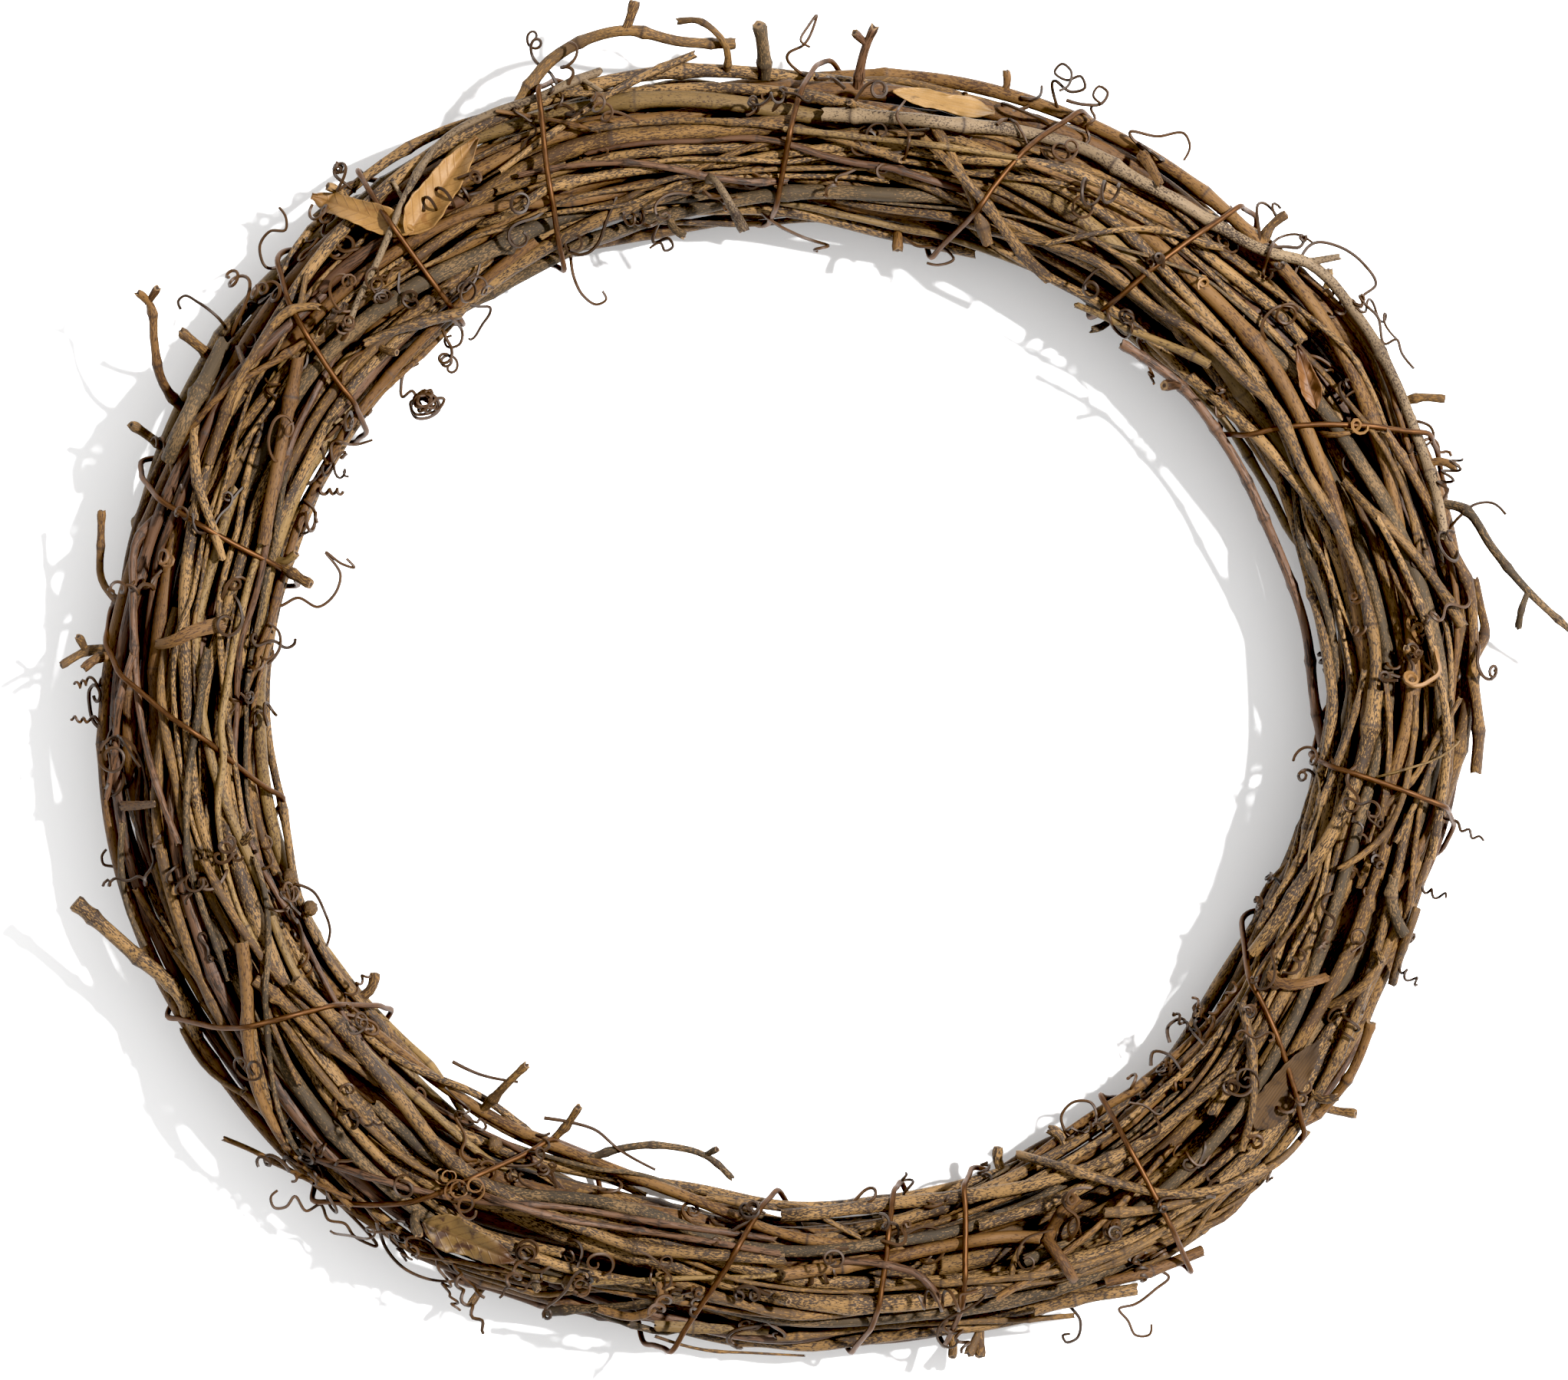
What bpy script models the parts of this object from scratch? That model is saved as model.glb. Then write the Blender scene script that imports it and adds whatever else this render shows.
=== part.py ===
"""A grapevine wreath: dried vine canes wound into a ring, bound by one spiral of wire.

The ring lies on its back, with Z up and the middle of its box over the origin.
Lengths are metres. An angle round the ring is measured from +X, anticlockwise from above.
A place in the ring's cross-section is (x, z): x outwards from the ring's middle line, z up.
A direction in the cross-section is 0 outwards, 90 up, 180 towards the hole and 270 down.
"""

import math

import bmesh
import bpy
import numpy as np
from mathutils import Vector

MM = 0.001

# The ring seen from above: its outer and inner edges, every 15 degrees from +X, in mm
OUTER_EDGE = (179, 178, 178, 173.5, 170, 167.5, 166, 170, 175.5, 178.5, 180, 180,
              182, 184, 181, 182, 180, 169, 170.5, 171, 177, 177, 173.5, 172.5)
INNER_EDGE = (138, 137, 134, 128, 126, 121, 122.5, 123.5, 127, 130, 133, 134.5,
              136, 138, 135.5, 131, 127, 124.5, 129.5, 132, 133.5, 133, 133, 136)
RING_CENTRE = Vector((-7.9 * MM, -2.9 * MM, 0.0))
BUNDLE_HALF_HEIGHT = 20.5 * MM
UNDERSIDE_DEPTH = 17.5 * MM  # the bundle is pressed flat this far below its middle
CLEARANCE = 0.35 * MM

# Canes
STATIONS = 32
STATION_STEP = 2 * math.pi / STATIONS
OUTER_CANES = 27
INNER_CANES = 10
OUTER_CANE_RADII = (1.5 * MM, 2.8 * MM)
INNER_CANE_RADII = (2.2 * MM, 3.1 * MM)
CANE_STATIONS = (27, 32)  # fewest and most for one cane, with one left clear past each of its ends
CANE_DRIFT = (200, 460)  # degrees that a cane winds round the bundle in one turn of the ring
CANE_TAPER = 0.3
CANE_GAP = 0.45 * MM
PRESS_ROUNDS = 500
SEED = 77

# Binding wire: the angle at which each turn comes over the outer edge, then over the inner edge
WIRE_RADIUS = 0.65 * MM
WIRE_WAYS = (0, 36, 72, 108, 144, 180, 212, 240, 300, 328)  # directions of the points of one turn, in degrees
WIRE_FLAT = 0.3 * MM  # how much of the wire's underside is worn flat where the wreath rests
WIRE_SLACK = 3.0 * MM  # how far outside the canes the wire starts before it is drawn tight
WIRE_DRAW = 0.08 * MM  # how far one round draws it in
WIRE_ROUNDS = 200
WIRE_TURNS = ((-76.6, -69.2), (-55.6, -52.2), (-42.9, -27.8), (-11.2, -6.3), (20.6, 32.1), (46.7, 51.8),
              (63.0, 72.3), (87.5, 92.9), (111.1, 118.8), (129.5, 131.8), (138.5, 148.4), (161.2, 167.2),
              (173.1, 191.6), (207.3, 217.0), (226.6, 244.1), (258.1, 269.1), (275.6, 282.6))

BUNDLE_FLOOR = 2 * WIRE_RADIUS + CLEARANCE - WIRE_FLAT
BUNDLE_MIDDLE_Z = BUNDLE_FLOOR + UNDERSIDE_DEPTH

# Twigs and cane ends that stand out of the ring: the angle of the root, the places that the twig passes
# as (angle, radius in mm, height in mm), its radii at root and tip in mm, and its forks, each with the
# number of the place that it leaves from and its own places
TWIGS = (
    (155.0, ((153.5, 183, 25), (151, 189, 30), (148.7, 194.9, 33), (148.5, 198.3, 36)), (1.3, 0.9),
     ((2, ((147.4, 194.5, 36),)),)),
    (16.5, ((15.5, 181, 22), (11.7, 186, 26), (7.9, 193, 28), (4.6, 203, 26), (3.8, 206, 25)), (1.4, 0.8),
     ((2, ((6.6, 190.5, 30), (5.2, 189.5, 27))),)),
    (115.5, ((110.5, 176.0, 31), (104.1, 177.0, 33), (99.7, 171.5, 31), (95, 169.5, 28)), (1.7, 1.2),
     ((1, ((103.3, 180.5, 35), (102.8, 183.5, 36))),)),
    (96.0, ((96.2, 171, 33), (97.6, 175.5, 33), (99.6, 176.8, 30)), (0.9, 0.7), ()),
    (92.5, ((92.6, 169, 30), (92.8, 173.5, 33)), (1.9, 1.6), ()),
    (83.8, ((83.4, 169, 33), (82.9, 173.5, 36)), (1.3, 1.0), ((0, ((84.6, 171.5, 36),)),)),
    (25.6, ((25.3, 180, 26), (24.3, 186, 28)), (1.2, 0.9), ()),
    (176.2, ((176.6, 184, 22), (177.8, 190, 24)), (1.3, 0.9), ((0, ((175.4, 186, 25),)),)),
    (172.4, ((170.5, 182.5, 20), (167.5, 184.5, 22), (165.2, 186, 23)), (1.0, 0.9), ()),
    (210.0, ((206.5, 175.5, 24), (201, 184.5, 26), (196.2, 193.7, 28)), (1.9, 1.8), ()),
    (318.5, ((320.8, 174.5, 24), (325, 175.5, 28), (330.4, 172.5, 32)), (1.5, 1.3), ()),
    (321.8, ((322.4, 178, 22), (323.3, 183, 24)), (1.2, 1.1), ()),
    (283.0, ((283.3, 173, 16), (283.6, 178, 18)), (1.2, 1.0), ()),
    (286.8, ((286.4, 174, 14), (285.9, 180, 16)), (1.3, 1.1), ((0, ((285.0, 178.5, 17),)),)),
    (243.2, ((242.6, 174, 16), (242.3, 180, 18)), (1.1, 0.9), ()),
    (233.5, ((234.0, 124, 32), (234.5, 118, 35)), (1.2, 0.9), ()),
    (242.3, ((242.6, 125, 30), (242.8, 120.5, 33)), (1.1, 0.9), ()),
    (247.5, ((250, 125, 30), (255, 121.5, 30), (259.4, 121.7, 28), (263.0, 126.5, 26)), (1.1, 0.7),
     ((2, ((260.6, 119.5, 31),)),)),
    (354.0, ((359, 136.5, 20), (7, 135, 22), (18, 131.5, 25), (29.7, 130, 28), (38.5, 128.5, 31),
             (46.7, 124.5, 34)), (1.3, 1.2), ((4, ((39.6, 125, 35),)),)),
    (99.5, ((98.4, 133, 43.5), (97.0, 126, 44.5), (95.9, 120, 44)), (0.9, 1.3), ()),
    (166.4, ((166.6, 132, 32), (167.1, 127.5, 34)), (1.2, 1.1), ()),
    (158.2, ((158.0, 182, 24), (157.8, 185, 26)), (1.2, 1.1), ()),
    (149.9, ((149.6, 180, 30), (149.4, 184, 32)), (1.3, 1.1), ()),
    (44.6, ((44.4, 175, 30), (44.2, 178.5, 31)), (1.1, 1.0), ()),
    (77.2, ((76.9, 121.5, 26), (76.6, 118.5, 27)), (1.3, 1.2), ()),
)

# Tendrils that stand out of the ring or into its hole: the angle of the root, the radius reached in mm,
# the height in mm, the lean along the ring in degrees, the radius of the curl in mm and its turns
TENDRILS = (
    (88.3, 177, 34, -25, 2.6, 1.4), (65.2, 178, 32, -50, 3.2, 1.8), (54.6, 175, 30, -30, 1.8, 1.2),
    (39.3, 184, 28, -62, 1.8, 2.6), (22.4, 181, 26, -20, 2.4, 1.2), (13.6, 186, 24, 30, 3.0, 0.8),
    (350.5, 186, 24, -35, 1.6, 2.6), (300.8, 185, 20, -40, 2.2, 2.0), (293.6, 180, 18, 20, 2.4, 1.2),
    (224.4, 187, 18, 25, 2.1, 2.4), (147.4, 187, 28, 40, 2.6, 1.0), (137.6, 183, 28, -20, 2.4, 1.3),
    (131.0, 183, 28, 10, 1.6, 1.8), (111.6, 181, 30, 15, 2.0, 1.2), (196.8, 186, 16, -30, 1.8, 1.2),
    (167.6, 117, 26, -35, 1.8, 2.2), (141.8, 121, 22, 10, 3.2, 2.2), (134.6, 122, 24, 20, 2.4, 1.5),
    (116.6, 118, 26, -20, 2.4, 1.3), (105.4, 118, 22, 15, 2.0, 1.4), (70.2, 118, 24, 10, 2.4, 1.6),
    (33.6, 130, 30, -25, 2.2, 1.2), (309.5, 127, 26, 20, 2.0, 1.4), (210.6, 126, 26, -15, 1.8, 1.2),
)
TENDRIL_RADIUS = 0.45 * MM
CURL_POINTS_PER_TURN = 5
CURL_PITCH = 2.2 * MM

# Stubs of broken side shoots, scattered over the bundle
STUBS = 20
STUB_LENGTH = (3.0 * MM, 6.5 * MM)
STUB_RADII = (0.9 * MM, 1.3 * MM)

# Dead leaves caught on top: for each blade, the angle and radius (mm) of its middle, the heading of the
# midrib in degrees from the ring's own direction, its length and width, and how far its sides curl up, in mm
LEAVES = (
    ("folded_leaf", ((131.8, 166.5, 62, 29, 7.5, 0.8), (124.5, 159.0, 160, 31, 9.5, 3.0))),
    ("pointed_bract", ((75.6, 158.5, 178, 27, 6.5, 0.8),)),
    ("brown_leaf", ((321.7, 163, -2, 28, 10, 1.5),)),
    ("blotched_leaf", ((239.5, 164, -7, 26, 9.5, 1.2),)),
    ("curled_leaf", ((31.6, 156, 14, 17, 5, 2.0),)),
    ("small_leaf", ((199.4, 168, 20, 11, 5, 1.0),)),
)
LEAF_THICKNESS = 0.7 * MM
LEAF_CELLS = (8, 4)
LEAF_DROP = 12 * MM

# Bark colours, and which of them each cane has in turn
BARKS = {"mottled_bark": (0.36, 0.23, 0.12), "brown_bark": (0.23, 0.13, 0.07), "grey_bark": (0.24, 0.19, 0.14),
         "tan_bark": (0.42, 0.28, 0.15), "reddish_bark": (0.21, 0.11, 0.075), "straw_bark": (0.44, 0.34, 0.19)}
BARK_ORDER = ("mottled_bark", "brown_bark", "tan_bark", "mottled_bark", "grey_bark", "brown_bark",
              "mottled_bark", "reddish_bark", "tan_bark", "brown_bark", "straw_bark")


def around(values, angle):
    """The value at an angle, on a smooth closed curve through evenly spaced values."""
    step = 2 * math.pi / len(values)
    place = angle / step
    first = math.floor(place)
    t = place - first
    a, b, c, d = (values[(first + offset) % len(values)] for offset in (-1, 0, 1, 2))
    return b + 0.5 * t * (c - a + t * (2 * a - 5 * b + 4 * c - d + t * (3 * (b - c) + d - a)))


def middle_radius(angle):
    """The radius of the ring's middle line."""
    return 0.5 * MM * (around(OUTER_EDGE, angle) + around(INNER_EDGE, angle))


def half_width(angle):
    """Half the bundle's width across the ring."""
    return 0.5 * MM * (around(OUTER_EDGE, angle) - around(INNER_EDGE, angle))


def outward(angle):
    """The level direction away from the ring's centre."""
    return Vector((math.cos(angle), math.sin(angle), 0.0))


def along(angle):
    """The level direction along the ring, anticlockwise."""
    return Vector((-math.sin(angle), math.cos(angle), 0.0))


def in_world(angle, x, z):
    """The point at a place (x, z) in the cross-section at an angle."""
    return RING_CENTRE + outward(angle) * (middle_radius(angle) + x) + Vector((0.0, 0.0, BUNDLE_MIDDLE_Z + z))


def at(degrees, radius, height):
    """The point at an angle in degrees, a radius and a height in mm."""
    return RING_CENTRE + outward(math.radians(degrees)) * radius * MM + Vector((0.0, 0.0, height * MM))


class Canes:
    """The canes' routes: for each cane, its places in the cross-sections that it passes, and its radii."""

    def __init__(self):
        random = np.random.default_rng(SEED)
        self.count = OUTER_CANES + INNER_CANES
        self.places = np.zeros((self.count, STATIONS, 2))
        self.radii = np.zeros((self.count, STATIONS))
        self.first = random.integers(0, STATIONS, self.count)
        self.length = random.integers(CANE_STATIONS[0], CANE_STATIONS[1] + 1, self.count)
        self.passes = np.zeros((self.count, STATIONS), bool)
        self.widths = np.array([half_width(k * STATION_STEP) for k in range(STATIONS)])
        for cane in range(self.count):
            self.lay(cane, random)
        self.wanted = self.places.copy()
        # A cane joins station k to station k + 1 wherever it passes both and doesn't end between them
        last = (self.first + self.length - 1) % STATIONS
        self.joined = self.passes & np.roll(self.passes, -1, axis=1)
        self.joined[np.arange(self.count), last] = False

    def lay(self, cane, random):
        """Lays one cane round the ring, drifting round the bundle as a wound cane does."""
        outer = cane < OUTER_CANES
        low, high = OUTER_CANE_RADII if outer else INNER_CANE_RADII
        radius = random.uniform(low, high)
        start_turn = 2 * math.pi * (cane + random.uniform(-0.3, 0.3)) / (OUTER_CANES if outer else INNER_CANES)
        drift = math.radians(random.uniform(*CANE_DRIFT)) * random.choice((-1, 1)) / STATIONS
        depth, dip = (random.uniform(0.88, 1.0), 0.22) if outer else (random.uniform(0.2, 0.62), 0.1)
        waves, phase = random.integers(2, 5), random.uniform(0, 2 * math.pi)
        for n in range(self.length[cane]):
            k = (self.first[cane] + n) % STATIONS
            share = depth - dip * (0.5 + 0.5 * math.sin(waves * n * STATION_STEP + phase))
            turn = start_turn + drift * n
            self.places[cane, k] = (share * (self.widths[k] - radius) * math.cos(turn),
                                    share * (BUNDLE_HALF_HEIGHT - radius) * math.sin(turn))
            self.radii[cane, k] = radius * (1 - CANE_TAPER * n / STATIONS)
            self.passes[cane, k] = True

    def press(self):
        """Presses the canes apart and into the bundle until none lies in another."""
        pairs = np.array([(a, b) for a in range(self.count) for b in range(a + 1, self.count)])
        one, other = pairs[:, 0], pairs[:, 1]
        spacing = np.array([middle_radius(k * STATION_STEP) for k in range(STATIONS)]) * STATION_STEP
        for round_number in range(PRESS_ROUNDS):
            settling = round_number < 0.7 * PRESS_ROUNDS
            if settling:
                self.straighten(0.06)
                self.places += 0.03 * (self.wanted - self.places)
            self.part(one, other, spacing)
            self.contain()

    def straighten(self, share):
        """Moves each inner station of a cane towards the middle of its two neighbours."""
        before, after = np.roll(self.places, 1, axis=1), np.roll(self.places, -1, axis=1)
        inner = (self.joined & np.roll(self.joined, 1, axis=1))[..., None]
        self.places += np.where(inner, share * (0.5 * (before + after) - self.places), 0.0)

    def nearest(self, one, other, spacing):
        """For each pair of canes and each step between stations: where they come nearest, how far they lie
        apart there, which way, and how far apart they have to be."""
        after = np.roll(self.places, -1, axis=1)
        slope = ((after - self.places) ** 2).sum(axis=2) / spacing ** 2
        radii = np.maximum(self.radii, np.roll(self.radii, -1, axis=1))
        both = self.joined[one] & self.joined[other]
        start = self.places[other] - self.places[one]
        change = after[other] - after[one] - start
        reach = (change ** 2).sum(axis=2)
        share = np.clip(-(start * change).sum(axis=2) / np.maximum(reach, 1e-12), 0.0, 1.0)
        apart = start + share[..., None] * change
        distance = np.sqrt((apart ** 2).sum(axis=2))
        slant = 1 + 0.5 * np.maximum(slope[one], slope[other])
        needed = (radii[one] + radii[other]) * slant + CANE_GAP
        return both, share, apart, distance, needed

    def part(self, one, other, spacing):
        """Moves each two canes that lie too near each other half of what they lack."""
        both, share, apart, distance, needed = self.nearest(one, other, spacing)
        lacking = np.where(both & (distance < needed), needed - distance, 0.0)
        push = apart / np.maximum(distance, 1e-6)[..., None] * lacking[..., None]
        weight = 0.5 / ((1 - share) ** 2 + share ** 2)
        near = push * (weight * (1 - share))[..., None]
        far = np.roll(push * (weight * share)[..., None], 1, axis=1)
        touched = (lacking > 0).astype(float)
        moved, count = np.zeros_like(self.places), np.zeros((self.count, STATIONS))
        for side, sign in ((one, -1), (other, 1)):
            np.add.at(moved, side, sign * (near + far))
            np.add.at(count, side, touched + np.roll(touched, 1, axis=1))
        self.places += moved / np.maximum(0.55 * count, 1.0)[..., None]

    def contain(self):
        """Keeps every cane inside the bundle's outline and above its flat underside."""
        half = np.stack([self.widths[None] - self.radii, BUNDLE_HALF_HEIGHT - self.radii], axis=2)
        size = np.sqrt(((self.places / half) ** 2).sum(axis=2))
        self.places /= np.maximum(size, 1.0)[..., None]
        floor = self.radii - UNDERSIDE_DEPTH
        self.places[..., 1] = np.maximum(self.places[..., 1], floor)

    def stations(self, cane):
        """The stations that a cane passes, from its butt to its tip."""
        return [(self.first[cane] + n) % STATIONS for n in range(1, self.length[cane] - 1)]

    def route(self, cane):
        """The points along a cane and its radius at each."""
        stations = self.stations(cane)
        return ([in_world(k * STATION_STEP, *self.places[cane, k]) for k in stations],
                [self.radii[cane, k] for k in stations])

    def crossing(self, cane, angle):
        """A cane's point and radius at an angle, or None where it doesn't pass there."""
        step = (angle / STATION_STEP) % STATIONS
        before = math.floor(step)
        stations = self.stations(cane)
        if before not in stations[:-1]:
            return None
        after = (before + 1) % STATIONS
        share = step - before
        start, end = (in_world(k * STATION_STEP, *self.places[cane, k]) for k in (before, after))
        return start.lerp(end, share), (1 - share) * self.radii[cane, before] + share * self.radii[cane, after]

    def outermost(self, angle, way):
        """The cane that reaches furthest along a direction in the cross-section at an angle, and its point
        and radius there."""
        best = None
        for cane in range(self.count):
            found = self.crossing(cane, angle)
            if found:
                reach = found[0].dot(way) + found[1]
                if best is None or reach > best[0]:
                    best = (reach, cane, *found)
        return best[1:]


class Bars:
    """Everything laid so far, as straight round bars, each with the number of the piece that it is in."""

    NEAREST = 96
    SHARES = np.array((0.0, 0.25, 0.5, 0.75, 1.0))

    def __init__(self):
        self.starts = np.zeros((0, 3))
        self.runs = np.zeros((0, 3))
        self.radii = np.zeros(0)
        self.pieces = np.zeros(0, int)

    def add(self, piece, points, radii):
        """Adds a piece's bars, from point to point."""
        points = np.array([tuple(point) for point in points])
        radii = np.broadcast_to(radii, len(points))
        self.starts = np.vstack([self.starts, points[:-1]])
        self.runs = np.vstack([self.runs, points[1:] - points[:-1]])
        self.radii = np.append(self.radii, np.maximum(radii[:-1], radii[1:]))
        self.pieces = np.append(self.pieces, np.full(len(points) - 1, piece))

    def near(self, places):
        """The bars nearest to each place, by their middles."""
        middles = self.starts + 0.5 * self.runs
        apart = ((places[:, None] - middles[None]) ** 2).sum(axis=2)
        return np.argpartition(apart, self.NEAREST, axis=1)[:, :self.NEAREST]

    def lacking(self, places, radius, own, near):
        """How much each place lacks of being clear of each bar near it, less than 0 where it is clear, and
        the unit directions away from the bars."""
        offset = places[:, None] - self.starts[near]
        runs = self.runs[near]
        share = np.clip((offset * runs).sum(axis=2) / (runs ** 2).sum(axis=2), 0.0, 1.0)
        away = offset - share[..., None] * runs
        distance = np.maximum(np.sqrt((away ** 2).sum(axis=2)), 1e-6)
        lacking = radius + self.radii[near] + CLEARANCE - distance
        lacking[self.pieces[near] == own] = -1.0
        return lacking, away / distance[..., None]

    def push(self, places, radius, own, near):
        """How far, and which way, each place has to move to be clear of every piece but its own."""
        lacking, away = self.lacking(places, radius, own, near)
        rows = np.arange(len(places))
        worst = lacking.argmax(axis=1)
        return away[rows, worst] * np.maximum(lacking[rows, worst], 0.0)[:, None]

    def settle(self, points, radius, own, hold, rounds=150):
        """Moves a path clear of the bars. The function hold puts its points back on what they must keep to."""
        points = np.array([tuple(point) for point in points])
        near = None
        for _ in range(rounds):
            runs = points[1:] - points[:-1]
            places = points[:-1, None] + self.SHARES[None, :, None] * runs[:, None]
            flat = places.reshape(-1, 3)
            if near is None:
                near = self.near(flat)
            push = self.push(flat, radius, own, near).reshape(places.shape)
            if not push.any():
                break
            worst = (push ** 2).sum(axis=2).argmax(axis=1)
            rows = np.arange(len(worst))
            share = self.SHARES[worst][:, None]
            weight = 0.6 / ((1 - share) ** 2 + share ** 2)
            points[:-1] += weight * (1 - share) * push[rows, worst]
            points[1:] += weight * share * push[rows, worst]
            hold(points)
        return [Vector(point) for point in points]


def wire_rays(canes):
    """For each point of the binding wire: the point of the ring's middle line beside it, the direction away
    from there, and how far out along it the wire is surely clear of the canes."""
    half_turn = len(WIRE_WAYS) // 2
    edges = [math.radians(edge) for turn in WIRE_TURNS for edge in turn]
    lead = (edges[0] - edges[1]) / 2
    edges = [edges[0] + lead, *edges, edges[-1] - lead]
    rays = []
    for n in range(2 - half_turn, (len(edges) - 2) * half_turn - 1):
        # Half turn 0 starts at the outer edge: even ones pass over the ring and odd ones under it
        half, step = divmod(n, half_turn)
        turn = math.radians(WIRE_WAYS[n % len(WIRE_WAYS)])
        share = 0.5 - 0.5 * math.cos(turn - math.pi * (half % 2))
        angle = edges[half + 1] + share * (edges[half + 2] - edges[half + 1])
        way = outward(angle) * math.cos(turn) + Vector((0.0, 0.0, math.sin(turn)))
        middle = in_world(angle, 0.0, 0.0)
        _, point, radius = canes.outermost(angle, way)
        rays.append((middle, way, (point - middle).dot(way) + radius + WIRE_SLACK))
    return rays


def wire_route(canes, bars):
    """The binding wire's points: a taut spiral round the bundle, its two ends tucked under the ring. Each
    point is drawn in along its own ray until the wire beside it meets what it binds."""
    rays = wire_rays(canes)
    middles = np.array([tuple(middle) for middle, _, _ in rays])
    ways = np.array([tuple(way) for _, way, _ in rays])
    reach = np.array([reach for _, _, reach in rays])
    furthest = reach + WIRE_SLACK
    shares = np.linspace(0.0, 1.0, 9)
    near = None
    for round_number in range(WIRE_ROUNDS):
        points = middles + reach[:, None] * ways
        # No lower than the worn underside lets the wire lie
        points[:, 2] = np.maximum(points[:, 2], WIRE_RADIUS - WIRE_FLAT)
        places = points[:-1, None] + shares[None, :, None] * (points[1:] - points[:-1])[:, None]
        flat = places.reshape(-1, 3)
        if near is None:
            near = bars.near(flat)
        lacking = bars.lacking(flat, WIRE_RADIUS, -1, near)[0].max(axis=1).reshape(len(rays) - 1, -1)
        # Both ends of a stretch give way to what it cuts, and only the nearer one is held back by what is near
        cut = lacking.max(axis=1)
        cut[cut < 0] = -WIRE_SLACK
        needed = np.full(len(rays), -WIRE_SLACK)
        needed[:-1] = np.maximum(np.maximum(needed[:-1], cut), lacking[:, :5].max(axis=1))
        needed[1:] = np.maximum(np.maximum(needed[1:], cut), lacking[:, 4:].max(axis=1))
        draw = WIRE_DRAW if round_number < 0.8 * WIRE_ROUNDS else 0.0
        reach = np.minimum(reach + np.maximum(0.5 * needed, -draw), furthest)
    return [Vector(point) for point in points]


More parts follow.
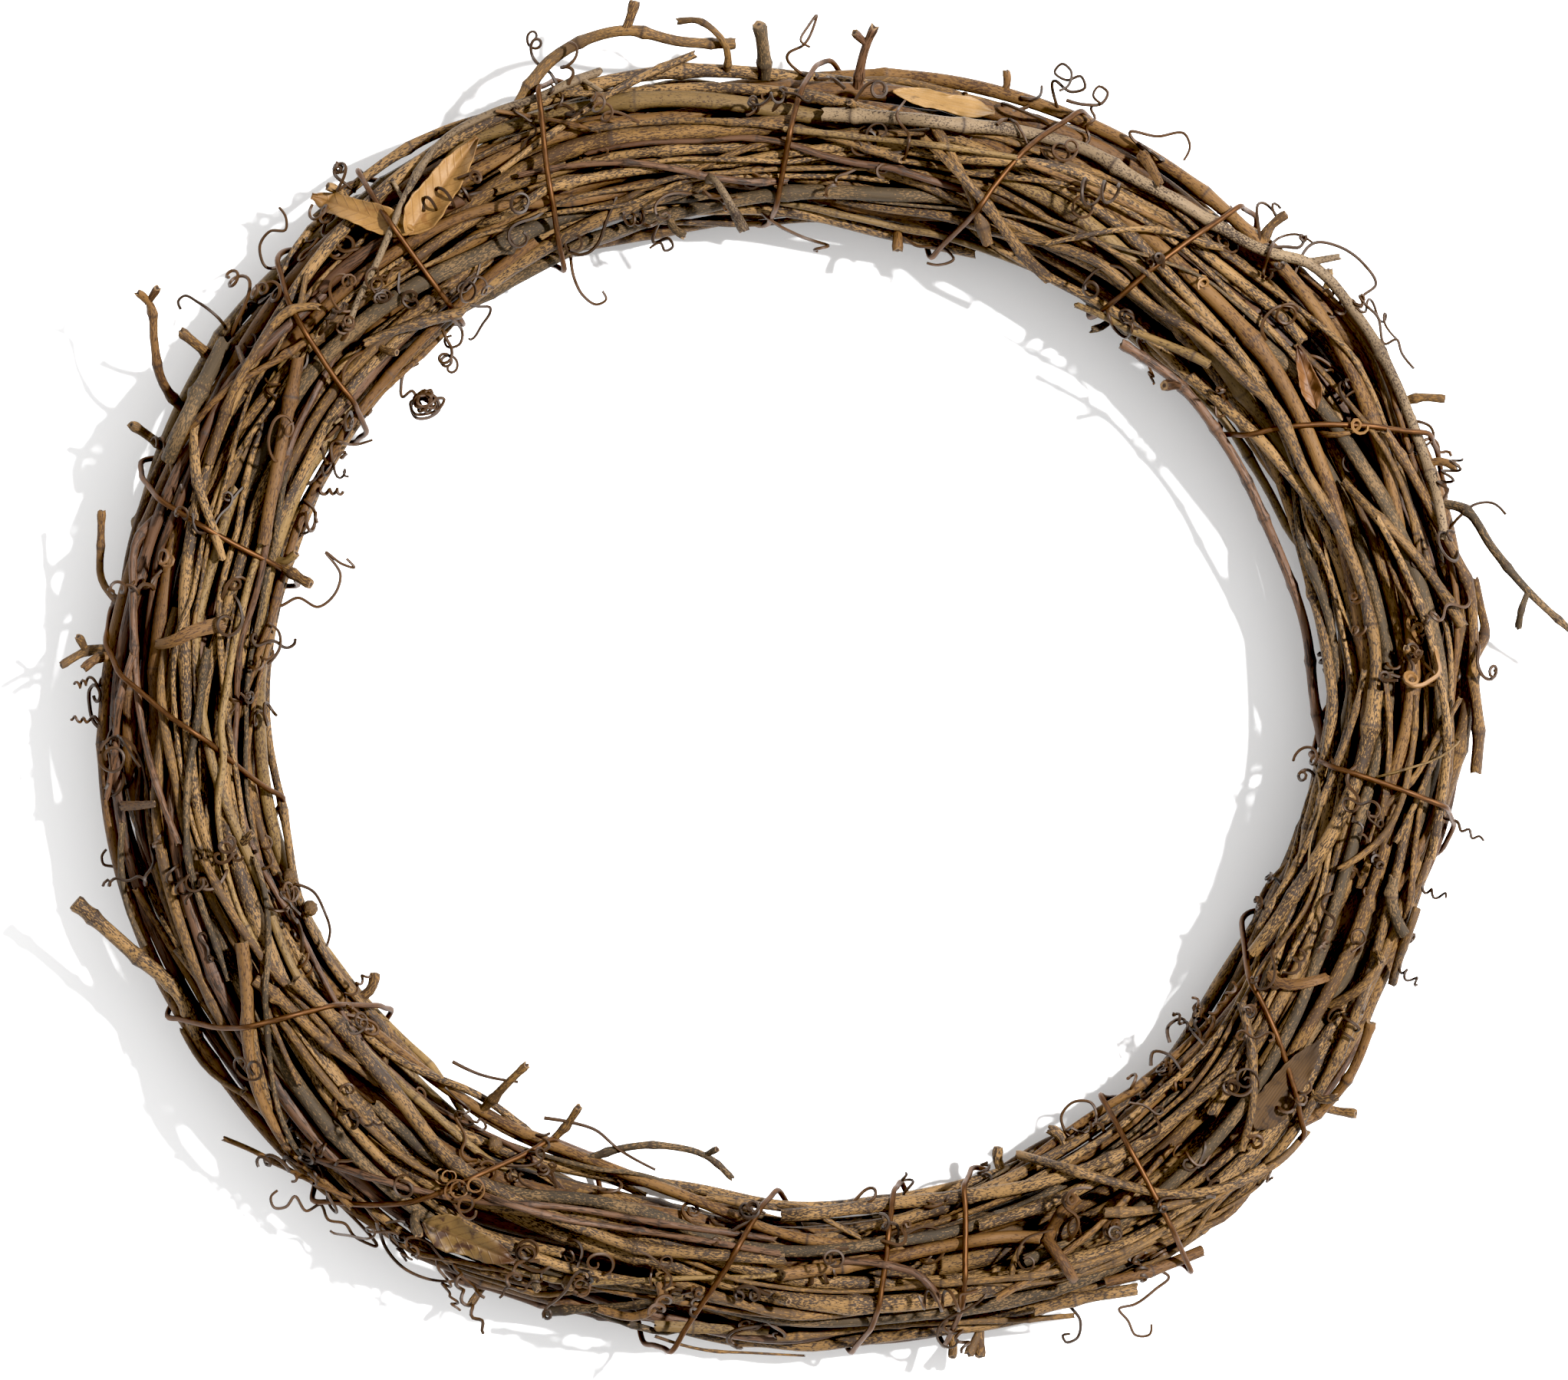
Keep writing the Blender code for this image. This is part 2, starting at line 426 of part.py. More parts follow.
class Shoots:
    """What grows from the canes: twigs, tendrils and the stubs of broken shoots, each fused to its cane."""

    def __init__(self, canes, bars):
        self.canes = canes
        self.bars = bars
        self.grown = []  # for each shoot, its cane, its points and its radii

    def root(self, degrees, turn, radius):
        """The cane, point and angle where a shoot can leave the bundle along a direction, at the nearest
        angle where nothing else is in its way."""
        for offset in sorted((n * 0.5 for n in range(-14, 15)), key=abs):
            angle = math.radians(degrees + offset)
            from_station = abs(angle / STATION_STEP - round(angle / STATION_STEP))
            way = outward(angle) * math.cos(turn) + Vector((0.0, 0.0, math.sin(turn)))
            cane, point, _ = self.canes.outermost(angle, way)
            ray = np.array([tuple(point + way * reach * MM) for reach in range(9)])
            blocked = self.bars.push(ray, radius, cane, self.bars.near(ray)).any()
            if from_station > 0.1 and not blocked:
                return cane, point, angle
        raise ValueError(f"no room for a shoot at {degrees} degrees")

    def grow(self, cane, points, radii, rooted=True):
        """Lays one shoot clear of all but its own cane. A rooted one keeps its first point."""
        start = points[0].copy()

        def hold(path):
            """Keeps the shoot's root in its cane, and the rest off the surface below."""
            if rooted:
                path[0] = start
            path[:, 2] = np.maximum(path[:, 2], max(radii))

        path = self.bars.settle(points, max(radii), cane, hold)
        self.grown.append((cane, path, radii))
        self.bars.add(cane, path, radii)
        return path

    def twigs(self):
        """Grows the twigs and cane ends that stand out of the ring, and their forks."""
        for degrees, places, (thick, thin), forks in TWIGS:
            _, radius, height = places[0]
            reach = radius * MM - middle_radius(math.radians(degrees))
            turn = math.atan2(height * MM - BUNDLE_MIDDLE_Z, reach)
            cane, point, _ = self.root(degrees, turn, thick * MM)
            points = [point, *(at(*place) for place in places)]
            steps = len(points) - 1
            radii = [(thick + (thin - thick) * n / steps) * MM for n in range(steps + 1)]
            path = self.grow(cane, points, radii)
            for leaves_from, fork in forks:
                start = path[leaves_from + 1]
                ends = [at(*place) + start - at(*places[leaves_from]) for place in fork]
                self.grow(cane, [start, *ends], [thin * MM] * (len(fork) + 1))

    def tendrils(self):
        """Grows the tendrils that stand out of the ring: a short stem, then a curl that tightens."""
        for degrees, reached, height, lean, curl, turns in TENDRILS:
            side = 1 if reached * MM > middle_radius(math.radians(degrees)) else -1
            turn = math.atan2(0.35, side)
            cane, point, angle = self.root(degrees, turn, TENDRIL_RADIUS)
            self.tendril(cane, point, angle, side, (reached, height, lean, curl, turns))

    def tendril(self, cane, point, angle, side, shape):
        """Grows one tendril."""
        reached, height, lean, curl, turns = shape
        out = outward(angle) * side
        way = (out * math.cos(math.radians(lean)) + along(angle) * math.sin(math.radians(lean))).normalized()
        across = Vector((0.0, 0.0, 1.0)).cross(way)
        run = abs(reached * MM - (point - RING_CENTRE).xy.length)
        count = max(2, round(turns * CURL_POINTS_PER_TURN))
        rise = Vector((0.0, 0.0, height * MM - point.z))
        stem = max(run - CURL_PITCH * turns * math.cos(math.radians(lean)), 0.35 * run)
        foot = point + way * stem + rise * 0.7
        points = [point, point.lerp(foot, 0.5) + Vector((0.0, 0.0, 1.2 * MM)), foot]
        for n in range(1, count + 1):
            swing = 2 * math.pi * n / CURL_POINTS_PER_TURN
            size = curl * MM * (1 - 0.35 * n / count)
            points.append(foot + way * (CURL_PITCH * n / CURL_POINTS_PER_TURN) + rise * 0.3 * (n / count)
                          + across * size * math.sin(swing)
                          + Vector((0.0, 0.0, size * (1 - math.cos(swing)))))
        self.grow(cane, points, [TENDRIL_RADIUS] * len(points))

    def stubs(self):
        """Grows the stubs of broken shoots over the top and the two sides of the bundle."""
        random = np.random.default_rng(SEED)
        for n in range(STUBS):
            degrees = 360 / STUBS * (n + random.uniform(-0.35, 0.35))
            turn = math.radians(random.uniform(-5, 185))
            thick = random.uniform(*STUB_RADII)
            cane, point, angle = self.root(degrees, turn, thick)
            way = outward(angle) * math.cos(turn) + Vector((0.0, 0.0, math.sin(turn)))
            lean = along(angle) * random.choice((-1, 1)) * random.uniform(0.4, 0.9)
            depth = self.canes.crossing(cane, angle)[1]
            foot = point + way * (depth + thick + 0.6 * MM)
            tip = foot + (way + lean) * random.uniform(*STUB_LENGTH) * 0.7
            self.grow(cane, [point, foot, tip], [thick, thick, 0.85 * thick])


def leaf_places(degrees, radius, heading, length, width, curl):
    """The grid of points of a leaf that lies on the crown of the bundle, as rows across it."""
    middle = math.radians(degrees)
    turn = math.radians(heading)
    midrib = along(middle) * math.cos(turn) + outward(middle) * math.sin(turn)
    across = Vector((0.0, 0.0, 1.0)).cross(midrib)
    centre = at(degrees, radius, 0.0)
    rows = []
    for n in range(LEAF_CELLS[0] + 1):
        share = n / LEAF_CELLS[0]
        # Broadest two fifths of the way up, with a waved edge and a narrow foot and tip
        half = 0.5 * width * max(0.12, math.sin(math.pi * share ** 0.75) ** 0.8) * (1 + 0.12 * math.sin(9 * share))
        row = []
        for m in range(LEAF_CELLS[1] + 1):
            side = 2 * m / LEAF_CELLS[1] - 1
            point = centre + midrib * (share - 0.5) * length * MM + across * side * half * MM
            level = (point - RING_CENTRE).xy
            angle = math.atan2(level.y, level.x)
            x = (level.length - middle_radius(angle)) / half_width(angle)
            crown = BUNDLE_HALF_HEIGHT * math.sqrt(max(1 - x * x, 0.2))
            wave = 0.5 * math.sin(11 * share + 2 * side) * side * side
            bend = 0.15 * length * (share - 0.45) ** 2
            point.z = BUNDLE_MIDDLE_Z + crown + (curl * side * side * half / (0.5 * width) + wave + bend) * MM
            row.append(point)
        rows.append(row)
    return rows


def lay_leaf(blades, bars, piece):
    """Lowers a leaf, blade beside blade, onto what lies under it, and adds it to the bars."""
    places = np.array([[[tuple(point) for point in row] for row in rows] for rows in blades])
    flat = places.reshape(-1, 3)
    near = bars.near(flat)
    flat[:, 2] -= LEAF_DROP
    while bars.push(flat, 0.5 * LEAF_THICKNESS, piece, near).any():
        flat[:, 2] += 0.1 * MM
    for grid in places:
        for row in (*grid, *grid.transpose(1, 0, 2)):
            bars.add(piece, row, 0.5 * LEAF_THICKNESS)
    return places


def clear_scene():
    """Removes whatever the scene holds."""
    for obj in list(bpy.data.objects):
        bpy.data.objects.remove(obj)


def collection(name):
    """A new collection in the scene."""
    made = bpy.data.collections.new(name)
    bpy.context.scene.collection.children.link(made)
    return made


def material(name, colour, roughness, metallic=0.0):
    """A plain finish."""
    made = bpy.data.materials.new(name)
    made.use_nodes = True
    shader = made.node_tree.nodes["Principled BSDF"]
    shader.inputs["Base Color"].default_value = (*colour, 1.0)
    shader.inputs["Roughness"].default_value = roughness
    shader.inputs["Metallic"].default_value = metallic
    made.diffuse_color = (*colour, 1.0)
    return made


def tube(name, points, radii, group, finish, rounding=1):
    """A closed tube through the points: 4 sides, and 2 more for each step of rounding."""
    curve = bpy.data.curves.new(name, "CURVE")
    curve.dimensions = "3D"
    curve.bevel_depth = 1.0
    curve.bevel_resolution = rounding
    curve.use_fill_caps = True
    spline = curve.splines.new("POLY")
    spline.points.add(len(points) - 1)
    for point, place, radius in zip(spline.points, points, radii):
        point.co = (*place, 1.0)
        point.radius = radius
    drawn = bpy.data.objects.new(name + "_curve", curve)
    bpy.context.scene.collection.objects.link(drawn)
    bpy.context.view_layer.update()
    graph = bpy.context.evaluated_depsgraph_get()
    mesh = bpy.data.meshes.new_from_object(drawn.evaluated_get(graph))
    bpy.data.objects.remove(drawn)
    shape = bmesh.new()
    shape.from_mesh(mesh)
    bmesh.ops.remove_doubles(shape, verts=shape.verts, dist=0.01 * MM)
    bmesh.ops.recalc_face_normals(shape, faces=shape.faces)
    shape.to_mesh(mesh)
    shape.free()
    mesh.materials.clear()
    mesh.materials.append(finish)
    made = bpy.data.objects.new(name, mesh)
    group.objects.link(made)
    smooth(mesh)
    return made


def smooth(mesh):
    """Shades a round piece smooth, but for its cut ends."""
    mesh.shade_smooth()
    mesh.set_sharp_from_angle(angle=math.radians(50))


def fuse(body, parts):
    """Joins the objects of a collection to a body with one union, and removes them."""
    union = body.modifiers.new("union", "BOOLEAN")
    union.operation = "UNION"
    union.operand_type = "COLLECTION"
    union.collection = parts
    bpy.context.view_layer.update()
    graph = bpy.context.evaluated_depsgraph_get()
    mesh = bpy.data.meshes.new_from_object(body.evaluated_get(graph))
    body.modifiers.clear()
    body.data = mesh
    for obj in list(parts.objects):
        bpy.data.objects.remove(obj)
    bpy.data.collections.remove(parts)
    smooth(mesh)


def flatten_underside(body):
    """Cuts away what a body has below the surface that the wreath lies on."""
    shape = bmesh.new()
    shape.from_mesh(body.data)
    everything = shape.verts[:] + shape.edges[:] + shape.faces[:]
    bmesh.ops.bisect_plane(shape, geom=everything, dist=1e-7, plane_co=(0, 0, 0), plane_no=(0, 0, -1),
                           clear_outer=True)
    bmesh.ops.holes_fill(shape, edges=shape.edges, sides=0)
    bmesh.ops.triangulate(shape, faces=shape.faces)
    bmesh.ops.recalc_face_normals(shape, faces=shape.faces)
    shape.to_mesh(body.data)
    shape.free()


def leaf_blade(name, grid, group, finish):
    """A thin closed blade on a grid of points."""
    shape = bmesh.new()
    bmesh.ops.create_grid(shape, x_segments=LEAF_CELLS[0], y_segments=LEAF_CELLS[1], size=0.5)
    for corner in shape.verts:
        n = round((corner.co.x + 0.5) * LEAF_CELLS[0])
        m = round((corner.co.y + 0.5) * LEAF_CELLS[1])
        corner.co = grid[n][m]
    bmesh.ops.triangulate(shape, faces=shape.faces)
    bmesh.ops.recalc_face_normals(shape, faces=shape.faces)
    mesh = bpy.data.meshes.new(name)
    shape.to_mesh(mesh)
    shape.free()
    mesh.materials.append(finish)
    made = bpy.data.objects.new(name, mesh)
    group.objects.link(made)
    wall = made.modifiers.new("thickness", "SOLIDIFY")
    wall.thickness = LEAF_THICKNESS
    wall.offset = 0.0
    return made


def leaf(name, grids, group, finish):
    """A leaf of one blade, or of several that are joined."""
    body = leaf_blade(name, grids[0], group, finish)
    if len(grids) > 1:
        others = collection(f"{name}_blades")
        for number, grid in enumerate(grids[1:]):
            leaf_blade(f"{name}_{number}", grid, others, finish)
        fuse(body, others)


def main():
    """Builds the wreath."""
    clear_scene()
    wreath = collection("grapevine_wreath")
    barks = {name: material(name, colour, 0.8) for name, colour in BARKS.items()}
    canes = Canes()
    canes.press()
    bars = Bars()
    for cane in range(canes.count):
        bars.add(cane, *canes.route(cane))

    dry_leaf = material("dry_leaf", (0.45, 0.28, 0.13), 0.7)
    for number, (name, blades) in enumerate(LEAVES):
        grids = lay_leaf([leaf_places(*blade) for blade in blades], bars, canes.count + number)
        leaf(name, grids, wreath, dry_leaf)

    route = wire_route(canes, bars)
    bars.add(-1, route, WIRE_RADIUS)
    wire = tube("binding_wire", route, [WIRE_RADIUS] * len(route), wreath,
                material("wire_paint", (0.13, 0.07, 0.04), 0.45, 0.3), rounding=0)
    flatten_underside(wire)

    shoots = Shoots(canes, bars)
    shoots.twigs()
    shoots.tendrils()
    shoots.stubs()
    for cane in range(canes.count):
        bark = barks[BARK_ORDER[cane % len(BARK_ORDER)]]
        points, radii = canes.route(cane)
        body = tube(f"cane_{cane + 1:02d}", points, radii, wreath, bark, 1 if cane < OUTER_CANES else 0)
        growth = [shoot for shoot in shoots.grown if shoot[0] == cane]
        if growth:
            parts = collection(f"growth_{cane + 1:02d}")
            for number, (_, path, widths) in enumerate(growth):
                tube(f"shoot_{cane + 1:02d}_{number}", path, widths, parts, bark, rounding=0)
            fuse(body, parts)


if __name__ == "__main__":
    main()
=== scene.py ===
"""Looks of the grapevine wreath: barks, nodes, tendrils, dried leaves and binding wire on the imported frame.

The wreath lies on its back in metres, with Z up. The routes of its canes, wire, leaves and shoots are worked
out again by the same seeded rules as its solids, so that every piece lies where its solid lies. An angle
round the ring is measured from +X, anticlockwise from above. A direction in the ring's cross-section is 0
outwards, 90 up, 180 towards the hole and 270 down.
"""

from __future__ import annotations

import logging
import math
from collections.abc import Callable, Sequence
from dataclasses import dataclass, field
from enum import Enum

import bmesh
import bpy
import numpy as np
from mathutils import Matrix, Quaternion, Vector

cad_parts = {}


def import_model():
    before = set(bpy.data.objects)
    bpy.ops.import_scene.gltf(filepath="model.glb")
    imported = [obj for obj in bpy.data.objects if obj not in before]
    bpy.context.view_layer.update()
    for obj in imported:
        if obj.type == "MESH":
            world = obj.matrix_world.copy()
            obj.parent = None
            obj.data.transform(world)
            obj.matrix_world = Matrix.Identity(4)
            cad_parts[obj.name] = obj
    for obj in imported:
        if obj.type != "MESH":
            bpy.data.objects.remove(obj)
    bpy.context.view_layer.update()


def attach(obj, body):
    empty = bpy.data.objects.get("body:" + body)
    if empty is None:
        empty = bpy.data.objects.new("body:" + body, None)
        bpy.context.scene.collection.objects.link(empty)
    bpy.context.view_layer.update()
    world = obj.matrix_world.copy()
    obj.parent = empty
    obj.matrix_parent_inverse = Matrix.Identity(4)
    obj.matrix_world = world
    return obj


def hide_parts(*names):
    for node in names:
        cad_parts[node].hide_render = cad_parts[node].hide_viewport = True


LOG = logging.getLogger("wreath")
MM = 0.001
UP = Vector((0.0, 0.0, 1.0))

# How far apart the points of a smooth cane or stem lie
FINE_STEP = 2 * MM
# The share of a full turn from each piece to the next that spreads pieces evenly round the ring
EVEN_SPREAD = 0.618
# How far the laid stems keep clear of the leaves
LEAF_CLEARANCE = 4 * MM
# How many steps a tendril takes for a full loop, and the fewest that it takes in all
LOOP_STEPS = 10
LEAST_STEPS = 7

Span = tuple[float, float]
Places = Sequence[tuple[float, float, float]]
FlatPlaces = Sequence[Span]
Array = np.ndarray
Draws = np.random.Generator
Socket = bpy.types.NodeSocket
Material = bpy.types.Material


# The ring and its canes


def around(values: Sequence[float], angle: float) -> float:
    """Reads a smooth closed curve through evenly spaced values.

    Args:
        values: the values, evenly spaced round the ring from +X.
        angle: the angle in radians.

    Returns:
        The value at the angle.
    """
    step = math.tau / len(values)
    place = angle / step
    first = math.floor(place)
    t = place - first
    a, b, c, d = (values[(first + offset) % len(values)] for offset in (-1, 0, 1, 2))
    return b + 0.5 * t * (c - a + t * (2 * a - 5 * b + 4 * c - d + t * (3 * (b - c) + d - a)))


def outward(angle: float) -> Vector:
    """The level direction away from the ring's centre."""
    return Vector((math.cos(angle), math.sin(angle), 0.0))


def along(angle: float) -> Vector:
    """The level direction along the ring, anticlockwise."""
    return Vector((-math.sin(angle), math.cos(angle), 0.0))


def section_way(angle: float, turn: float) -> Vector:
    """The direction in the cross-section at an angle, by its turn from outwards."""
    return outward(angle) * math.cos(turn) + UP * math.sin(turn)


def lengths_of(vectors: Array) -> Array:
    """The lengths of the vectors along an array's last axis."""
    return np.sqrt((vectors ** 2).sum(axis=-1))


def between(points: Array, shares: Array) -> Array:
    """The places at these shares of the way from each point to the next."""
    return points[:-1, None] + shares[None, :, None] * (points[1:] - points[:-1])[:, None]


def bell(off: Array, middle: float, width: float) -> Array:
    """A bell-shaped rise, 1 high at its middle."""
    return np.exp(-((off - middle) / width) ** 2)


@dataclass(frozen=True)
class Ring:
    """The ring seen from above, its edges every 15 degrees in mm, and its flat-bottomed cross-section."""

    outer_edge: tuple[float, ...] = (
        179, 178, 178, 173.5, 170, 167.5, 166, 170, 175.5, 178.5, 180, 180,
        182, 184, 181, 182, 180, 169, 170.5, 171, 177, 177, 173.5, 172.5)
    inner_edge: tuple[float, ...] = (
        138, 137, 134, 128, 126, 121, 122.5, 123.5, 127, 130, 133, 134.5,
        136, 138, 135.5, 131, 127, 124.5, 129.5, 132, 133.5, 133, 133, 136)
    centre: Vector = field(default_factory=lambda: Vector((-7.9 * MM, -2.9 * MM, 0.0)))
    half_height: float = 20.5 * MM
    underside_depth: float = 17.5 * MM
    wire_radius: float = 0.65 * MM
    wire_flat: float = 0.3 * MM
    clearance: float = 0.35 * MM

    @property
    def middle_z(self) -> float:
        """The height of the bundle's middle over the surface that the wreath lies on."""
        return 2 * self.wire_radius + self.clearance - self.wire_flat + self.underside_depth

    def middle_radius(self, angle: float) -> float:
        """The radius of the ring's middle line."""
        return 0.5 * MM * (around(self.outer_edge, angle) + around(self.inner_edge, angle))

    def half_width(self, angle: float) -> float:
        """Half the bundle's width across the ring."""
        return 0.5 * MM * (around(self.outer_edge, angle) - around(self.inner_edge, angle))

    def in_world(self, angle: float, x: float, z: float) -> Vector:
        """Places a point of the cross-section in the world.

        Args:
            angle: the angle of the cross-section.
            x: how far out of the middle line the point lies.
            z: how far above it.

        Returns:
            The point.
        """
        return self.centre + outward(angle) * (self.middle_radius(angle) + x) + UP * (self.middle_z + z)

    def overhang(self, point: Vector) -> float:
        """Measures how far outside the bundle a point lies as seen from above.

        Args:
            point: the point.

        Returns:
            The distance, less than 0 over the bundle.
        """
        level = (point - self.centre).xy
        angle = math.atan2(level.y, level.x)
        return abs(level.length - self.middle_radius(angle)) - self.half_width(angle)

    def at(self, degrees: float, radius: float, height: float) -> Vector:
        """The point at an angle in degrees, a radius and a height in mm."""
        return self.centre + outward(math.radians(degrees)) * radius * MM + UP * (height * MM)


@dataclass(frozen=True)
class CaneLayer:
    """One layer of canes: their number, radii and depths as shares of the bundle, and how far they dip."""

    count: int
    radii: Span
    depths: Span
    dip: float


@dataclass
class CaneRoutes:
    """The canes' places in the cross-sections that they pass, pressed apart until none lies in another."""

    ring: Ring
    stations: int = 32
    outer: CaneLayer = CaneLayer(27, (1.5 * MM, 2.8 * MM), (0.88, 1.0), 0.22)
    inner: CaneLayer = CaneLayer(10, (2.2 * MM, 3.1 * MM), (0.2, 0.62), 0.1)
    cane_stations: tuple[int, int] = (27, 32)
    drift: Span = (200, 460)
    taper: float = 0.3
    gap: float = 0.45 * MM
    press_rounds: int = 500
    free_rounds: float = 0.7
    straightened: float = 0.06
    drawn_home: float = 0.03
    damping: float = 0.55
    seed: int = 77

    def __post_init__(self) -> None:
        """Lays every cane and presses the bundle."""
        random = np.random.default_rng(self.seed)
        self.step = math.tau / self.stations
        self.count = self.outer.count + self.inner.count
        self.places = np.zeros((self.count, self.stations, 2))
        self.radii = np.zeros((self.count, self.stations))
        self.first = random.integers(0, self.stations, self.count)
        self.length = random.integers(self.cane_stations[0], self.cane_stations[1] + 1, self.count)
        self.passes = np.zeros((self.count, self.stations), bool)
        self.widths = np.array([self.ring.half_width(k * self.step) for k in range(self.stations)])
        for cane in range(self.count):
            self.lay(cane, random)
        self.wanted = self.places.copy()
        last = (self.first + self.length - 1) % self.stations
        self.joined = self.passes & np.roll(self.passes, -1, axis=1)
        self.joined[np.arange(self.count), last] = False
        self.press()

    def lay(self, cane: int, random: Draws) -> None:
        """Lays one cane round the ring, drifting round the bundle as a wound cane does.

        Args:
            cane: the cane's number.
            random: the seeded source of every draw.
        """
        layer = self.outer if cane < self.outer.count else self.inner
        radius = random.uniform(*layer.radii)
        start_turn = math.tau * (cane + random.uniform(-0.3, 0.3)) / layer.count
        drift = math.radians(random.uniform(*self.drift)) * random.choice((-1, 1)) / self.stations
        depth = random.uniform(*layer.depths)
        waves, phase = random.integers(2, 5), random.uniform(0, math.tau)
        for n in range(self.length[cane]):
            k = (self.first[cane] + n) % self.stations
            share = depth - layer.dip * (0.5 + 0.5 * math.sin(waves * n * self.step + phase))
            turn = start_turn + drift * n
            self.places[cane, k] = (share * (self.widths[k] - radius) * math.cos(turn),
                                    share * (self.ring.half_height - radius) * math.sin(turn))
            self.radii[cane, k] = radius * (1 - self.taper * n / self.stations)
            self.passes[cane, k] = True

    def press(self) -> None:
        """Presses the canes apart and into the bundle."""
        pairs = np.array([(a, b) for a in range(self.count) for b in range(a + 1, self.count)])
        one, other = pairs[:, 0], pairs[:, 1]
        spacing = np.array([self.ring.middle_radius(k * self.step) for k in range(self.stations)]) * self.step
        for round_number in range(self.press_rounds):
            if round_number < self.free_rounds * self.press_rounds:
                self.straighten()
                self.places += self.drawn_home * (self.wanted - self.places)
            self.part(one, other, spacing)
            self.contain()

    def straighten(self) -> None:
        """Moves each inner station of a cane towards the middle of its two neighbours."""
        before, after = np.roll(self.places, 1, axis=1), np.roll(self.places, -1, axis=1)
        inner = (self.joined & np.roll(self.joined, 1, axis=1))[..., None]
        self.places += np.where(inner, self.straightened * (0.5 * (before + after) - self.places), 0.0)

    def part(self, one: Array, other: Array, spacing: Array) -> None:
        """Moves each two canes that lie too near each other half of what they lack.

        Args:
            one: the first cane of each pair.
            other: the second cane of each pair.
            spacing: how far apart the stations lie.
        """
        after = np.roll(self.places, -1, axis=1)
        slope = ((after - self.places) ** 2).sum(axis=2) / spacing ** 2
        radii = np.maximum(self.radii, np.roll(self.radii, -1, axis=1))
        both = self.joined[one] & self.joined[other]
        start = self.places[other] - self.places[one]
        change = after[other] - after[one] - start
        reach = (change ** 2).sum(axis=2)
        share = np.clip(-(start * change).sum(axis=2) / np.maximum(reach, 1e-12), 0.0, 1.0)
        apart = start + share[..., None] * change
        distance = lengths_of(apart)
        slant = 1 + 0.5 * np.maximum(slope[one], slope[other])
        needed = (radii[one] + radii[other]) * slant + self.gap
        lacking = np.where(both & (distance < needed), needed - distance, 0.0)
        push = apart / np.maximum(distance, 1e-6)[..., None] * lacking[..., None]
        weight = 0.5 / ((1 - share) ** 2 + share ** 2)
        near = push * (weight * (1 - share))[..., None]
        far = np.roll(push * (weight * share)[..., None], 1, axis=1)
        touched = (lacking > 0).astype(float)
        moved, count = np.zeros_like(self.places), np.zeros((self.count, self.stations))
        for side, sign in ((one, -1), (other, 1)):
            np.add.at(moved, side, sign * (near + far))
            np.add.at(count, side, touched + np.roll(touched, 1, axis=1))
        self.places += moved / np.maximum(self.damping * count, 1.0)[..., None]

    def contain(self) -> None:
        """Keeps every cane inside the bundle's outline and above its flat underside."""
        half = np.stack([self.widths[None] - self.radii, self.ring.half_height - self.radii], axis=2)
        self.places /= np.maximum(lengths_of(self.places / half), 1.0)[..., None]
        floor = self.radii - self.ring.underside_depth
        self.places[..., 1] = np.maximum(self.places[..., 1], floor)

    def stops(self, cane: int) -> list[int]:
        """The stations that a cane passes, from its butt to its tip."""
        return [(self.first[cane] + n) % self.stations for n in range(1, self.length[cane] - 1)]

    def route(self, cane: int) -> tuple[list[Vector], list[float]]:
        """The points along a cane and its radius at each."""
        stops = self.stops(cane)
        return ([self.ring.in_world(k * self.step, *self.places[cane, k]) for k in stops],
                [self.radii[cane, k] for k in stops])

    def crossing(self, cane: int, angle: float) -> tuple[Vector, float] | None:
        """Finds where a cane crosses a cross-section.

        Args:
            cane: the cane's number.
            angle: the angle of the cross-section.

        Returns:
            The cane's point and radius there, or None where it doesn't pass.
        """
        step = (angle / self.step) % self.stations
        before = math.floor(step)
        if before not in self.stops(cane)[:-1]:
            return None
        after = (before + 1) % self.stations
        share = step - before
        start, end = (self.ring.in_world(k * self.step, *self.places[cane, k]) for k in (before, after))
        radius = (1 - share) * self.radii[cane, before] + share * self.radii[cane, after]
        return start.lerp(end, share), radius

    def outermost(self, angle: float, way: Vector) -> tuple[int, Vector, float]:
        """Finds the cane that reaches furthest along a direction in a cross-section.

        Args:
            angle: the angle of the cross-section.
            way: the direction.

        Returns:
            The cane's number, and its point and radius there.
        """
        crossings = ((cane, self.crossing(cane, angle)) for cane in range(self.count))
        found = [(cane, *crossing) for cane, crossing in crossings if crossing]
        return max(found, key=lambda row: row[1].dot(way) + row[2])


